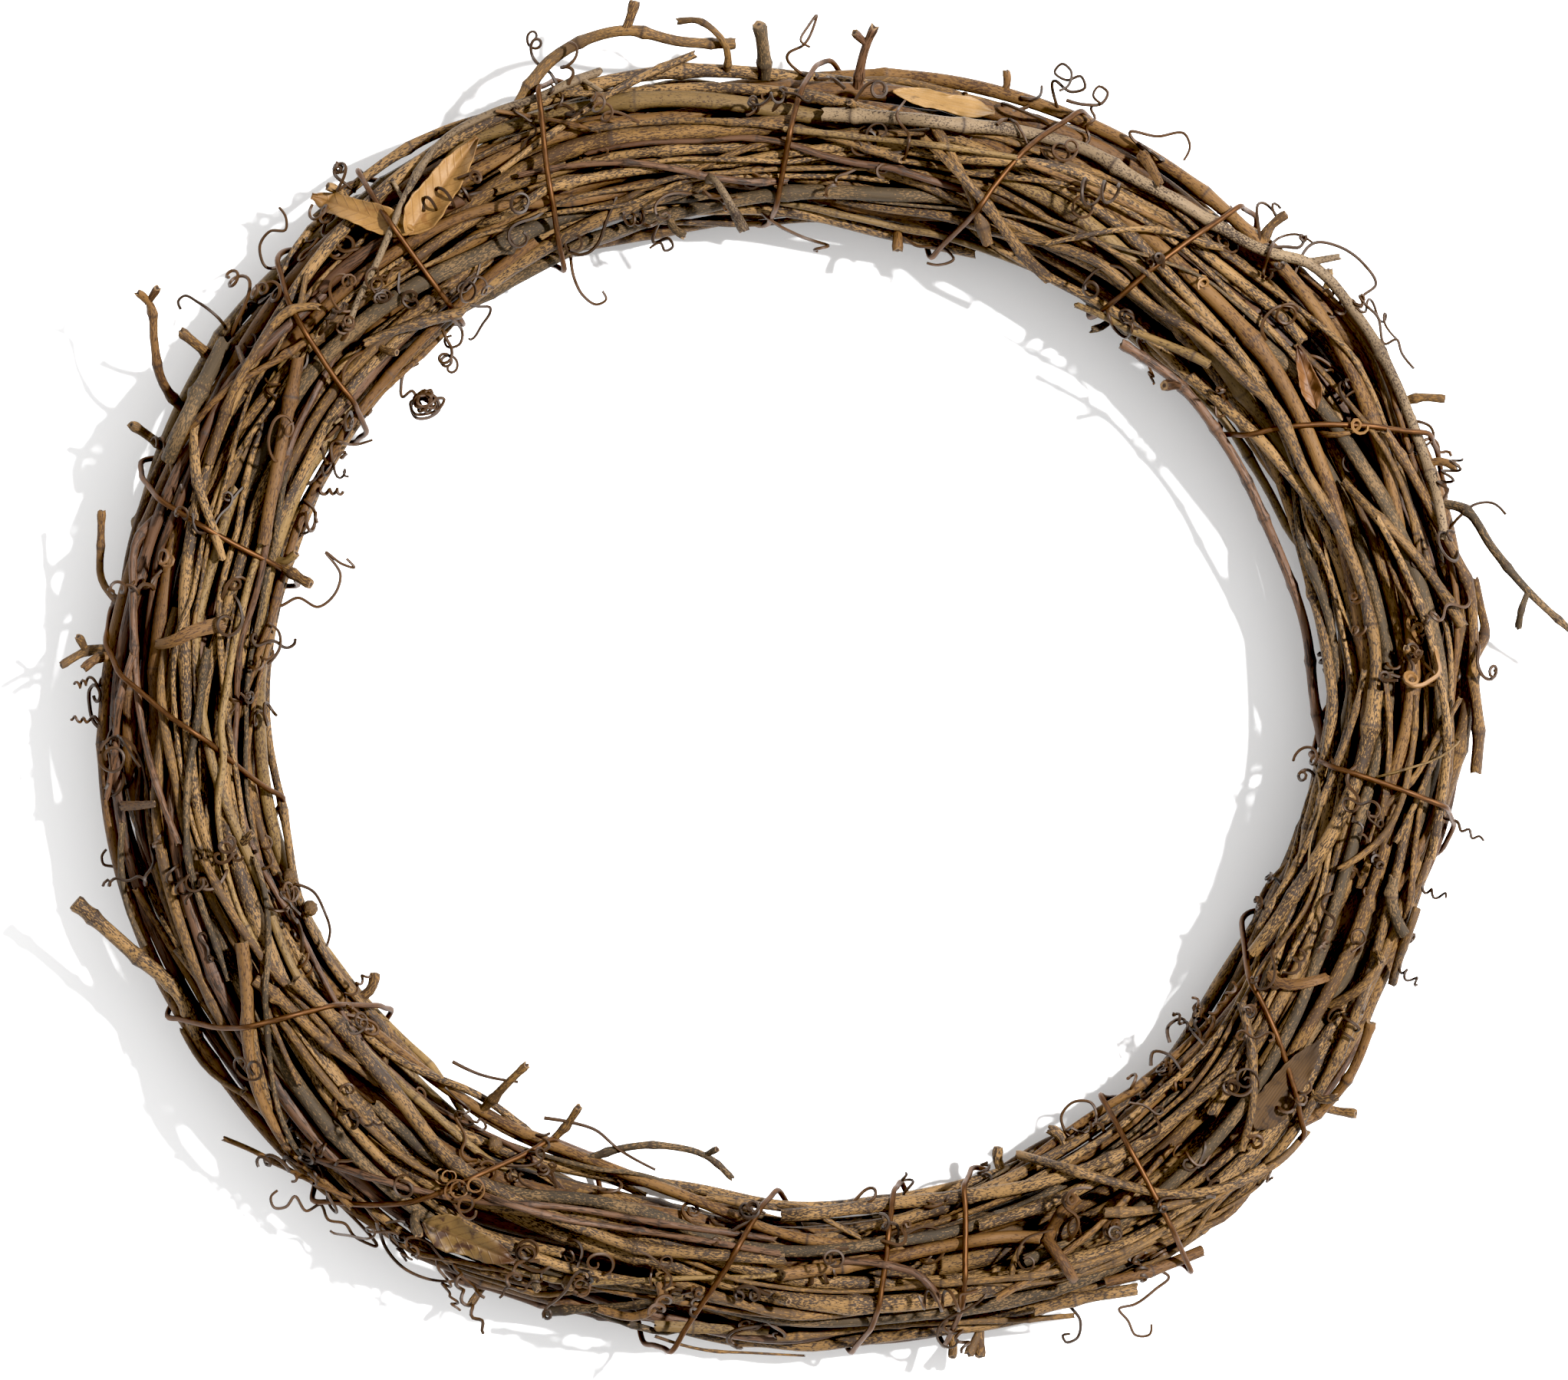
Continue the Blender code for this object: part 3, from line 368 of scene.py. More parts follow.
class Bars:
    """Everything laid so far, as straight round bars, each with the number of the piece that it is in."""

    NEAREST = 96
    FACING = 420
    ROUNDS = 150
    SHARES = np.linspace(0.0, 1.0, 5)

    def __init__(self, clearance: float) -> None:
        """Starts with no bars.

        Args:
            clearance: how far apart the pieces lie.
        """
        self.clearance = clearance
        self.starts = np.zeros((0, 3))
        self.runs = np.zeros((0, 3))
        self.radii = np.zeros(0)
        self.pieces = np.zeros(0, int)

    def add(self, piece: int, points: Sequence[Sequence[float]], radii: Sequence[float] | float) -> None:
        """Adds a piece's bars, from point to point.

        Args:
            piece: the piece's number.
            points: its points.
            radii: its radius at each point, or one for all.
        """
        points = np.array(points)
        radii = np.broadcast_to(radii, len(points))
        self.starts = np.vstack([self.starts, points[:-1]])
        self.runs = np.vstack([self.runs, points[1:] - points[:-1]])
        self.radii = np.append(self.radii, np.maximum(radii[:-1], radii[1:]))
        self.pieces = np.append(self.pieces, np.full(len(points) - 1, piece))

    def include(self, other: Bars) -> None:
        """Takes in another's bars."""
        for name in ("starts", "runs", "radii", "pieces"):
            setattr(self, name, np.concatenate([getattr(self, name), getattr(other, name)]))

    def near(self, places: Array, count: int = NEAREST) -> Array:
        """Finds the bars nearest to each place, by their middles.

        Args:
            places: the places.
            count: how many bars are found for each.

        Returns:
            The bars' numbers.
        """
        middles = self.starts + 0.5 * self.runs
        apart = ((places[:, None] - middles[None]) ** 2).sum(axis=2)
        return np.argpartition(apart, count, axis=1)[:, :count]

    def lacking(self, places: Array, radius: float, own: int, near: Array) -> tuple[Array, Array]:
        """Measures how much each place lacks of being clear of each bar near it.

        Args:
            places: the places.
            radius: the radius of what lies there.
            own: the number of the piece that it belongs to.
            near: the bars near each place.

        Returns:
            What each place lacks, less than 0 where it is clear, and the directions away from the bars.
        """
        offset = places[:, None] - self.starts[near]
        runs = self.runs[near]
        share = np.clip((offset * runs).sum(axis=2) / (runs ** 2).sum(axis=2), 0.0, 1.0)
        away = offset - share[..., None] * runs
        distance = np.maximum(lengths_of(away), 1e-6)
        lacking = radius + self.radii[near] + self.clearance - distance
        lacking[self.pieces[near] == own] = -1.0
        return lacking, away / distance[..., None]

    def push(self, places: Array, radius: float, own: int, near: Array) -> Array:
        """Finds how each place has to move to be clear of every piece but its own.

        Args:
            places: the places.
            radius: the radius of what lies there.
            own: the number of the piece that it belongs to.
            near: the bars near each place.

        Returns:
            Each place's move.
        """
        lacking, away = self.lacking(places, radius, own, near)
        rows = np.arange(len(places))
        worst = lacking.argmax(axis=1)
        return away[rows, worst] * np.maximum(lacking[rows, worst], 0.0)[:, None]

    def settle(self, points: Sequence[Vector], radius: float, own: int,
               hold: Callable[[Array], None]) -> list[Vector]:
        """Moves a path clear of the bars.

        Args:
            points: the path.
            radius: its radius.
            own: the number of the piece that it belongs to.
            hold: puts the path's points back on what they must keep to.

        Returns:
            The path's points.
        """
        points = np.array(points)
        near = None
        for _ in range(self.ROUNDS):
            places = between(points, self.SHARES)
            flat = places.reshape(-1, 3)
            if near is None:
                near = self.near(flat)
            push = self.push(flat, radius, own, near).reshape(places.shape)
            if not push.any():
                break
            worst = (push ** 2).sum(axis=2).argmax(axis=1)
            rows = np.arange(len(worst))
            share = self.SHARES[worst][:, None]
            weight = 0.6 / ((1 - share) ** 2 + share ** 2)
            points[:-1] += weight * (1 - share) * push[rows, worst]
            points[1:] += weight * share * push[rows, worst]
            hold(points)
        return [Vector(point) for point in points]

    def surface(self, middles: Array, ways: Array, radius: float) -> Array:
        """Finds how far out along each ray a round strand touches the outermost bar.

        Args:
            middles: where the rays start, on the ring's middle line.
            ways: the unit directions of the rays of each of them.
            radius: the strand's radius.

        Returns:
            The reach along each ray, 0 where it meets no bar.
        """
        near = self.near(middles, self.FACING)
        lengths = lengths_of(self.runs[near])
        axes = self.runs[near] / lengths[..., None]
        offset = middles[:, None] - self.starts[near]
        start_along = (offset * axes).sum(axis=2)
        start_across = offset - start_along[..., None] * axes
        way_along = np.einsum("nmx,nkx->nmk", ways, axes)
        a = np.maximum(1 - way_along ** 2, 1e-9)
        b = np.einsum("nmx,nkx->nmk", ways, start_across)
        c = ((start_across ** 2).sum(axis=2) - (self.radii[near] + radius) ** 2)[:, None]
        inside = b * b - a * c
        reach = (-b + np.sqrt(np.maximum(inside, 0.0))) / a
        place = start_along[:, None] + reach * way_along
        meets = (inside > 0) & (place > -0.5 * MM) & (place < lengths[:, None] + 0.5 * MM)
        return np.where(meets, reach, 0.0).max(axis=2)


def taut(middles: Array, ways: Array, least: Array, rounds: int) -> Array:
    """Draws a strand tight over what it crosses, so that it runs straight between the crests.

    Args:
        middles: where the rays of its points start.
        ways: their unit directions.
        least: how far out along each ray it touches what lies under it.
        rounds: how many rounds it is drawn for.

    Returns:
        The strand's points.
    """
    reach = least.copy()
    for _ in range(rounds):
        points = middles + reach[:, None] * ways
        chord = 0.5 * (points[:-2] + points[2:]) - middles[1:-1]
        reach[1:-1] = np.maximum(least[1:-1], (chord * ways[1:-1]).sum(axis=1))
    return middles + reach[:, None] * ways


@dataclass
class BindingWire:
    """The binding wire's spiral, with the angles where each turn comes over the outer and the inner edge."""

    ring: Ring
    ways: tuple[float, ...] = (0, 36, 72, 108, 144, 180, 212, 240, 300, 328)
    slack: float = 3.0 * MM
    draw: float = 0.08 * MM
    edge_slack: float = 1.8 * MM
    rounds: int = 200
    thicker: float = 1.15
    strand_step: float = 1.2 * MM
    sides: int = 8
    turns: tuple[Span, ...] = (
        (-76.6, -69.2), (-55.6, -52.2), (-42.9, -27.8), (-11.2, -6.3), (20.6, 32.1), (46.7, 51.8),
        (63.0, 72.3), (87.5, 92.9), (111.1, 118.8), (129.5, 131.8), (138.5, 148.4), (161.2, 167.2),
        (173.1, 191.6), (207.3, 217.0), (226.6, 244.1), (258.1, 269.1), (275.6, 282.6))

    def rays(self, ways: Sequence[float], even: bool = False) -> list[tuple[float, Vector, Vector]]:
        """The rays that the wire's points lie on.

        Args:
            ways: the directions of the points of one turn, in degrees.
            even: whether it runs on evenly along the ring, or most where it crosses the top.

        Returns:
            For each point, its angle, the middle line's point beside it and the direction away from there.
        """
        half_turn = len(ways) // 2
        edges = [math.radians(edge) for turn in self.turns for edge in turn]
        lead = (edges[0] - edges[1]) / 2
        edges = [edges[0] + lead, *edges, edges[-1] - lead]
        rays = []
        for n in range(2 - half_turn, (len(edges) - 2) * half_turn - 1):
            half, _ = divmod(n, half_turn)
            turn = math.radians(ways[n % len(ways)])
            turned = turn - math.pi * (half % 2)
            share = turned / math.pi if even else 0.5 - 0.5 * math.cos(turned)
            angle = edges[half + 1] + share * (edges[half + 2] - edges[half + 1])
            rays.append((angle, self.ring.in_world(angle, 0.0, 0.0), section_way(angle, turn)))
        return rays

    def solid(self, canes: CaneRoutes, bars: Bars) -> list[Vector]:
        """Lays the wire as its solid lies, clear of what it binds, so that the shoots keep clear of it alike.

        Args:
            canes: the canes.
            bars: everything that the wire binds.

        Returns:
            The wire's points.
        """
        rays = self.rays(self.ways)
        _, middles, ways = map(np.array, zip(*rays))
        reach = np.zeros(len(rays))
        for n, (angle, middle, way) in enumerate(rays):
            _, point, radius = canes.outermost(angle, way)
            reach[n] = (point - middle).dot(way) + radius + self.slack
        furthest = reach + self.slack
        shares = np.linspace(0.0, 1.0, 9)
        near = None
        for round_number in range(self.rounds):
            points = middles + reach[:, None] * ways
            points[:, 2] = np.maximum(points[:, 2], self.ring.wire_radius - self.ring.wire_flat)
            flat = between(points, shares).reshape(-1, 3)
            if near is None:
                near = bars.near(flat)
            lacking, _ = bars.lacking(flat, self.ring.wire_radius, -1, near)
            lacking = lacking.max(axis=1).reshape(len(rays) - 1, -1)
            cut = lacking.max(axis=1)
            cut[cut < 0] = -self.slack
            needed = np.full(len(rays), -self.slack)
            needed[:-1] = np.maximum(np.maximum(needed[:-1], cut), lacking[:, :5].max(axis=1))
            needed[1:] = np.maximum(np.maximum(needed[1:], cut), lacking[:, 4:].max(axis=1))
            draw = self.draw if round_number < 0.8 * self.rounds else 0.0
            reach = np.minimum(reach + np.maximum(0.5 * needed, -draw), furthest)
        return [Vector(point) for point in points]

    def tight(self, bars: Bars, ways: int = 28, rounds: int = 160) -> Array:
        """Lays the wire as it is drawn tight over everything that it binds.

        Args:
            bars: everything that the wire binds.
            ways: how many points one turn has.
            rounds: how many rounds it is drawn for.

        Returns:
            The wire's points.
        """
        rays = self.rays(tuple(360 * n / ways for n in range(ways)), True)
        _, middles, directions = map(np.array, zip(*rays))
        least = bars.surface(middles, directions[:, None], self.ring.wire_radius)[:, 0]
        least += self.edge_slack * (1 - directions[:, 2] ** 2) ** 2
        points = taut(middles, directions, least, rounds)
        points[:, 2] = np.maximum(points[:, 2], 1.6 * self.ring.wire_radius)
        return points

    def build(self, bars: Bars, finish: Material) -> None:
        """Builds the tight wire, a little thicker than its solid.

        Args:
            bars: everything that the wire binds.
            finish: its material.
        """
        line = self.tight(bars)
        skin = Skin("tight_binding_wire")
        radii = [self.thicker * self.ring.wire_radius] * len(line)
        skin.wrap(Strand.through(line, radii, self.strand_step), self.sides)
        skin.finish(finish, None, ("binding_wire",), "wire_paint")


# Twigs, tendrils and stubs


class BarkKind(Enum):
    """The barks that the wreath's canes and twigs have, and the record's material slots for them."""

    MOTTLED = "mottled_bark"
    BROWN = "brown_bark"
    GREY = "grey_bark"
    TAN = "tan_bark"
    REDDISH = "reddish_bark"
    STRAW = "straw_bark"
    SILVER = "silver_bark"

    @property
    def slot(self) -> str:
        """The slot that a piece of this bark takes its finish from."""
        return BarkKind.GREY.value if self is BarkKind.SILVER else self.value


MOTTLED, BROWN, GREY, TAN, REDDISH, STRAW, SILVER = BarkKind
BARK_ORDER = (MOTTLED, BROWN, TAN, MOTTLED, GREY, BROWN, MOTTLED, REDDISH, TAN, BROWN, STRAW)
LAID_ORDER = (MOTTLED, BROWN, TAN, MOTTLED, BROWN, REDDISH, MOTTLED, GREY, STRAW, MOTTLED, BROWN)


class ShootKind(Enum):
    """What grows from a cane."""

    TWIG = "twig"
    TENDRIL = "tendril"
    STUB = "stub"


@dataclass(frozen=True)
class Twig:
    """A twig or cane end that stands out of the ring.

    Its places are (angle in degrees, radius in mm, height in mm), and its radii at root and tip are in mm.
    Each fork has the number of the place that it leaves from and its own places.
    """

    root: float
    places: Places
    radii: Span
    forks: tuple[tuple[int, Places], ...] = ()
    bark: BarkKind = BROWN


TWIGS = (
    Twig(155.0, ((153.5, 183, 25), (151, 189, 30), (148.7, 194.9, 33), (148.5, 198.3, 36)), (1.3, 0.9),
         ((2, ((147.4, 194.5, 36),)),), TAN),
    Twig(16.5, ((15.5, 181, 22), (11.7, 186, 26), (7.9, 193, 28), (4.6, 203, 26), (3.8, 206, 25)), (1.4, 0.8),
         ((2, ((6.6, 190.5, 30), (5.2, 189.5, 27))),), GREY),
    Twig(115.5, ((110.5, 176.0, 31), (104.1, 177.0, 33), (99.7, 171.5, 31), (95, 169.5, 28)), (1.7, 1.2),
         ((1, ((103.3, 180.5, 35), (102.8, 183.5, 36))),), BROWN),
    Twig(96.0, ((96.2, 171, 33), (97.6, 175.5, 33), (99.6, 176.8, 30)), (0.9, 0.7)),
    Twig(92.5, ((92.6, 169, 30), (92.8, 173.5, 33)), (1.9, 1.6), (), GREY),
    Twig(83.8, ((83.4, 169, 33), (82.9, 173.5, 36)), (1.3, 1.0), ((0, ((84.6, 171.5, 36),)),), REDDISH),
    Twig(25.6, ((25.3, 180, 26), (24.3, 186, 28)), (1.2, 0.9)),
    Twig(176.2, ((176.6, 184, 22), (177.8, 190, 24)), (1.3, 0.9), ((0, ((175.4, 186, 25),)),)),
    Twig(172.4, ((170.5, 182.5, 20), (167.5, 184.5, 22), (165.2, 186, 23)), (1.0, 0.9), (), TAN),
    Twig(210.0, ((206.5, 175.5, 24), (201, 184.5, 26), (196.2, 193.7, 28)), (1.9, 1.8), (), MOTTLED),
    Twig(318.5, ((320.8, 174.5, 24), (325, 175.5, 28), (330.4, 172.5, 32)), (1.5, 1.3), (), TAN),
    Twig(321.8, ((322.4, 178, 22), (323.3, 183, 24)), (1.2, 1.1)),
    Twig(283.0, ((283.3, 173, 16), (283.6, 178, 18)), (1.2, 1.0)),
    Twig(286.8, ((286.4, 174, 14), (285.9, 180, 16)), (1.3, 1.1), ((0, ((285.0, 178.5, 17),)),)),
    Twig(243.2, ((242.6, 174, 16), (242.3, 180, 18)), (1.1, 0.9)),
    Twig(233.5, ((234.0, 124, 32), (234.5, 118, 35)), (1.2, 0.9)),
    Twig(242.3, ((242.6, 125, 30), (242.8, 120.5, 33)), (1.1, 0.9)),
    Twig(247.5, ((250, 125, 30), (255, 121.5, 30), (259.4, 121.7, 28), (263.0, 126.5, 26)), (1.1, 0.7),
         ((2, ((260.6, 119.5, 31),)),), GREY),
    Twig(354.0, ((359, 136.5, 20), (7, 135, 22), (18, 131.5, 25), (29.7, 130, 28), (38.5, 128.5, 31),
                 (46.7, 124.5, 34)), (1.3, 1.2), ((4, ((39.6, 125, 35),)),), REDDISH),
    Twig(99.5, ((98.4, 133, 43.5), (97.0, 126, 44.5), (95.9, 120, 44)), (0.9, 1.3), (), SILVER),
    Twig(166.4, ((166.6, 132, 32), (167.1, 127.5, 34)), (1.2, 1.1)),
    Twig(158.2, ((158.0, 182, 24), (157.8, 185, 26)), (1.2, 1.1)),
    Twig(149.9, ((149.6, 180, 30), (149.4, 184, 32)), (1.3, 1.1)),
    Twig(44.6, ((44.4, 175, 30), (44.2, 178.5, 31)), (1.1, 1.0)),
    Twig(77.2, ((76.9, 121.5, 26), (76.6, 118.5, 27)), (1.3, 1.2), (), TAN),
)

# The tendrils that stand out of the ring or into its hole: the angle of the root, the radius reached in mm,
# the height in mm, the lean along the ring in degrees, the radius of the curl in mm and its turns
TENDRILS = (
    (88.3, 177, 34, -25, 2.6, 1.4), (65.2, 178, 32, -50, 3.2, 1.8), (54.6, 175, 30, -30, 1.8, 1.2),
    (39.3, 184, 28, -62, 1.8, 2.6), (22.4, 181, 26, -20, 2.4, 1.2), (13.6, 186, 24, 30, 3.0, 0.8),
    (350.5, 186, 24, -35, 1.6, 2.6), (300.8, 185, 20, -40, 2.2, 2.0), (293.6, 180, 18, 20, 2.4, 1.2),
    (224.4, 187, 18, 25, 2.1, 2.4), (147.4, 187, 28, 40, 2.6, 1.0), (137.6, 183, 28, -20, 2.4, 1.3),
    (131.0, 183, 28, 10, 1.6, 1.8), (111.6, 181, 30, 15, 2.0, 1.2), (196.8, 186, 16, -30, 1.8, 1.2),
    (167.6, 117, 26, -35, 1.8, 2.2), (141.8, 121, 22, 10, 3.2, 2.2), (134.6, 122, 24, 20, 2.4, 1.5),
    (116.6, 118, 26, -20, 2.4, 1.3), (105.4, 118, 22, 15, 2.0, 1.4), (70.2, 118, 24, 10, 2.4, 1.6),
    (33.6, 130, 30, -25, 2.2, 1.2), (309.5, 127, 26, 20, 2.0, 1.4), (210.6, 126, 26, -15, 1.8, 1.2),
)


@dataclass
class Grown:
    """One shoot: its kind, the cane that it grows from, its points, its radii and its bark."""

    kind: ShootKind
    cane: int
    points: list[Vector]
    radii: list[float]
    bark: BarkKind


@dataclass
class Shoots:
    """Twigs, tendrils and stubs, each laid clear of all but its own cane."""

    # How far from the angle wanted a shoot may stand, in degrees, the nearest first
    OFFSETS = sorted((n * 0.5 for n in range(-14, 15)), key=abs)

    canes: CaneRoutes
    bars: Bars
    tendril_radius: float = 0.45 * MM
    tendril_lift: float = 0.35
    curl_points: int = 5
    curl_pitch: float = 2.2 * MM
    stub_count: int = 20
    stub_length: Span = (3.0 * MM, 6.5 * MM)
    stub_radii: Span = (0.9 * MM, 1.3 * MM)
    stub_ways: Span = (-5, 185)
    stub_lean: Span = (0.4, 0.9)
    free_mm: int = 9
    station_gap: float = 0.1
    grown: list[Grown] = field(default_factory=list)

    def __post_init__(self) -> None:
        """Grows every shoot, in the order that the solids have."""
        for twig in TWIGS:
            self.twig(twig)
        for shape in TENDRILS:
            self.tendril(shape)
        self.stubs()

    def root(self, degrees: float, turn: float, radius: float) -> tuple[int, Vector, float]:
        """Finds where a shoot can leave the bundle, at the nearest angle where nothing is in its way.

        Args:
            degrees: the angle wanted.
            turn: the direction in the cross-section.
            radius: the shoot's radius.

        Returns:
            The cane that it grows from, the point on that cane's line, and the angle there.
        """
        for offset in self.OFFSETS:
            angle = math.radians(degrees + offset)
            from_station = abs(angle / self.canes.step - round(angle / self.canes.step))
            way = section_way(angle, turn)
            cane, point, _ = self.canes.outermost(angle, way)
            ray = np.array([point + way * reach * MM for reach in range(self.free_mm)])
            blocked = self.bars.push(ray, radius, cane, self.bars.near(ray)).any()
            if from_station > self.station_gap and not blocked:
                return cane, point, angle
        raise ValueError(f"no room for a shoot at {degrees} degrees")

    def grow(self, kind: ShootKind, cane: int, points: list[Vector], radii: list[float],
             bark: BarkKind | None = None) -> list[Vector]:
        """Lays one shoot clear of all but its own cane.

        Args:
            kind: what it is.
            cane: the cane that it grows from.
            points: its points as wanted, the first of them kept.
            radii: its radius at each point.
            bark: its bark, or None for its cane's.

        Returns:
            Its points as laid.
        """
        start = points[0].copy()

        def hold(path: Array) -> None:
            """Keeps the shoot's root in its cane, and the rest off the surface below."""
            path[0] = start
            path[:, 2] = np.maximum(path[:, 2], max(radii))

        path = self.bars.settle(points, max(radii), cane, hold)
        own = BARK_ORDER[cane % len(BARK_ORDER)]
        self.grown.append(Grown(kind, cane, path, radii, bark or own))
        self.bars.add(cane, path, radii)
        return path

    def twig(self, twig: Twig) -> None:
        """Grows one twig and its forks.

        Args:
            twig: the twig.
        """
        _, radius, height = twig.places[0]
        thick, thin = twig.radii
        ring = self.canes.ring
        reach = radius * MM - ring.middle_radius(math.radians(twig.root))
        turn = math.atan2(height * MM - ring.middle_z, reach)
        cane, point, _ = self.root(twig.root, turn, thick * MM)
        points = [point, *(ring.at(*place) for place in twig.places)]
        steps = len(points) - 1
        radii = [(thick + (thin - thick) * n / steps) * MM for n in range(steps + 1)]
        path = self.grow(ShootKind.TWIG, cane, points, radii, twig.bark)
        for leaves_from, fork in twig.forks:
            start = path[leaves_from + 1]
            ends = [ring.at(*place) + start - ring.at(*twig.places[leaves_from]) for place in fork]
            self.grow(ShootKind.TWIG, cane, [start, *ends], [thin * MM] * (len(fork) + 1), twig.bark)

    def tendril(self, shape: tuple[float, ...]) -> None:
        """Grows one tendril: a short stem, then a curl that tightens.

        Args:
            shape: its row of TENDRILS.
        """
        degrees, reached, height, lean, curl, turns = shape
        ring = self.canes.ring
        side = 1 if reached * MM > ring.middle_radius(math.radians(degrees)) else -1
        cane, point, angle = self.root(degrees, math.atan2(self.tendril_lift, side), self.tendril_radius)
        lean = math.radians(lean)
        way = (outward(angle) * side * math.cos(lean) + along(angle) * math.sin(lean)).normalized()
        across = UP.cross(way)
        run = abs(reached * MM - (point - ring.centre).xy.length)
        count = max(2, round(turns * self.curl_points))
        rise = UP * (height * MM - point.z)
        stem = max(run - self.curl_pitch * turns * math.cos(lean), 0.35 * run)
        foot = point + way * stem + rise * 0.7
        points = [point, point.lerp(foot, 0.5) + UP * (1.2 * MM), foot]
        for n in range(1, count + 1):
            swing = math.tau * n / self.curl_points
            size = curl * MM * (1 - 0.35 * n / count)
            points.append(foot + way * (self.curl_pitch * n / self.curl_points) + rise * 0.3 * (n / count)
                          + across * size * math.sin(swing) + UP * (size * (1 - math.cos(swing))))
        self.grow(ShootKind.TENDRIL, cane, points, [self.tendril_radius] * len(points))

    def stubs(self) -> None:
        """Grows the stubs of broken shoots over the top and the two sides of the bundle."""
        random = np.random.default_rng(self.canes.seed)
        for n in range(self.stub_count):
            degrees = 360 / self.stub_count * (n + random.uniform(-0.35, 0.35))
            turn = math.radians(random.uniform(*self.stub_ways))
            thick = random.uniform(*self.stub_radii)
            cane, point, angle = self.root(degrees, turn, thick)
            way = section_way(angle, turn)
            lean = along(angle) * random.choice((-1, 1)) * random.uniform(*self.stub_lean)
            depth = self.canes.crossing(cane, angle)[1]
            foot = point + way * (depth + thick + 0.6 * MM)
            tip = foot + (way + lean) * random.uniform(*self.stub_length) * 0.7
            self.grow(ShootKind.STUB, cane, [point, foot, tip], [thick, thick, 0.85 * thick])


# Finishes


def linear(colour: str) -> tuple[float, float, float, float]:
    """Turns an sRGB hex colour to linear.

    Args:
        colour: six hex digits after a hash.

    Returns:
        Red, green, blue and an alpha of 1.
    """
    parts = (int(colour[place:place + 2], 16) / 255 for place in (1, 3, 5))
    return *(part / 12.92 if part <= 0.04045 else ((part + 0.055) / 1.055) ** 2.4 for part in parts), 1.0


class Paint:
    """One material's pattern, drawn from what its piece keeps at each vertex.

    "straight" is the place on a strand as if it were straight, with the third number along it. "tone" is how
    far its colour leans to the second ground, "ring_line" is how dark a ring it has, and "blade_place" is the
    place on a leaf.
    """

    def __init__(self, name: str) -> None:
        """Makes the material.

        Args:
            name: its name.
        """
        self.material = bpy.data.materials.new(name)
        self.material.use_nodes = True
        self.tree = self.material.node_tree
        self.shader = self.tree.nodes["Principled BSDF"]

    def feed(self, wanted: Socket, value: object) -> None:
        """Sets an input, or links another node's output to it.

        Args:
            wanted: the input.
            value: its value, or the other node's output.
        """
        if isinstance(value, Socket):
            self.tree.links.new(value, wanted)
        else:
            wanted.default_value = value

    def node(self, kind: str, inputs: dict[str | int, object], **settings: object) -> bpy.types.NodeOutputs:
        """Adds a node.

        Args:
            kind: the node's type.
            inputs: for each input, by its name or number, a value or another node's output.
            settings: the values of its own properties.

        Returns:
            Its outputs.
        """
        made = self.tree.nodes.new(kind)
        for name, value in settings.items():
            setattr(made, name, value)
        for name, value in inputs.items():
            self.feed(made.inputs[name], value)
        return made.outputs

    def read(self, name: str, output: str = "Fac") -> Socket:
        """What the piece keeps under a name."""
        return self.node("ShaderNodeAttribute", {}, attribute_name=name)[output]

    def noise(self, place: Socket, width: float, length: float, detail: float = 3.0) -> Socket:
        """Adds a noise.

        Args:
            place: where it is read.
            width: how wide its features are across the piece, in mm.
            length: how long they are along it, in mm.
            detail: how many finer noises are laid over it.

        Returns:
            The noise, from 0 to 1.
        """
        scale = (1 / (width * MM), 1 / (width * MM), 1 / (length * MM))
        spread = self.node("ShaderNodeMapping", {"Scale": scale, "Vector": place})[0]
        inputs = {"Vector": spread, "Scale": 1.0, "Detail": detail, "Roughness": 0.6}
        return self.node("ShaderNodeTexNoise", inputs)["Fac"]

    def math(self, operation: str, *values: object) -> Socket:
        """The result of an operation on outputs and numbers."""
        return self.node("ShaderNodeMath", dict(enumerate(values)), operation=operation)[0]

    def vectors(self, operation: str, inputs: dict[str | int, object]) -> bpy.types.NodeOutputs:
        """The results of an operation on vectors."""
        return self.node("ShaderNodeVectorMath", inputs, operation=operation)

    def ramp(self, value: Socket, span: Span, to: Span = (0.0, 1.0), kind: str = "LINEAR") -> Socket:
        """Brings a value from one span to another."""
        inputs = {"Value": value, "From Min": span[0], "From Max": span[1], "To Min": to[0], "To Max": to[1]}
        return self.node("ShaderNodeMapRange", inputs, interpolation_type=kind)[0]

    def mix(self, share: Socket, *colours: object) -> Socket:
        """Mixes two colours, each a hex number or an output, by the second one's share."""
        first, second = (linear(colour) if isinstance(colour, str) else colour for colour in colours)
        return self.node("ShaderNodeMix", {0: share, 6: first, 7: second}, data_type="RGBA")[2]

    def shade(self, colour: Socket, strength: Socket) -> Socket:
        """Makes a colour lighter or darker."""
        return self.vectors("SCALE", {0: colour, "Scale": strength})[0]

    def give(self, height: Socket, strength: float, depth: float, **values: object) -> Material:
        """Gives the shader what it shows.

        Args:
            height: how the surface rises and falls.
            strength: how strongly that shows.
            depth: how deep it is, in mm.
            values: a value or an output for each of the shader's inputs, by its name without spaces.

        Returns:
            The material.
        """
        relief = {"Height": height, "Strength": strength, "Distance": depth * MM}
        values["Normal"] = self.node("ShaderNodeBump", relief)["Normal"]
        inputs = {wanted.name.replace(" ", ""): wanted for wanted in self.shader.inputs}
        for name, value in values.items():
            self.feed(inputs[name], value)
        return self.material


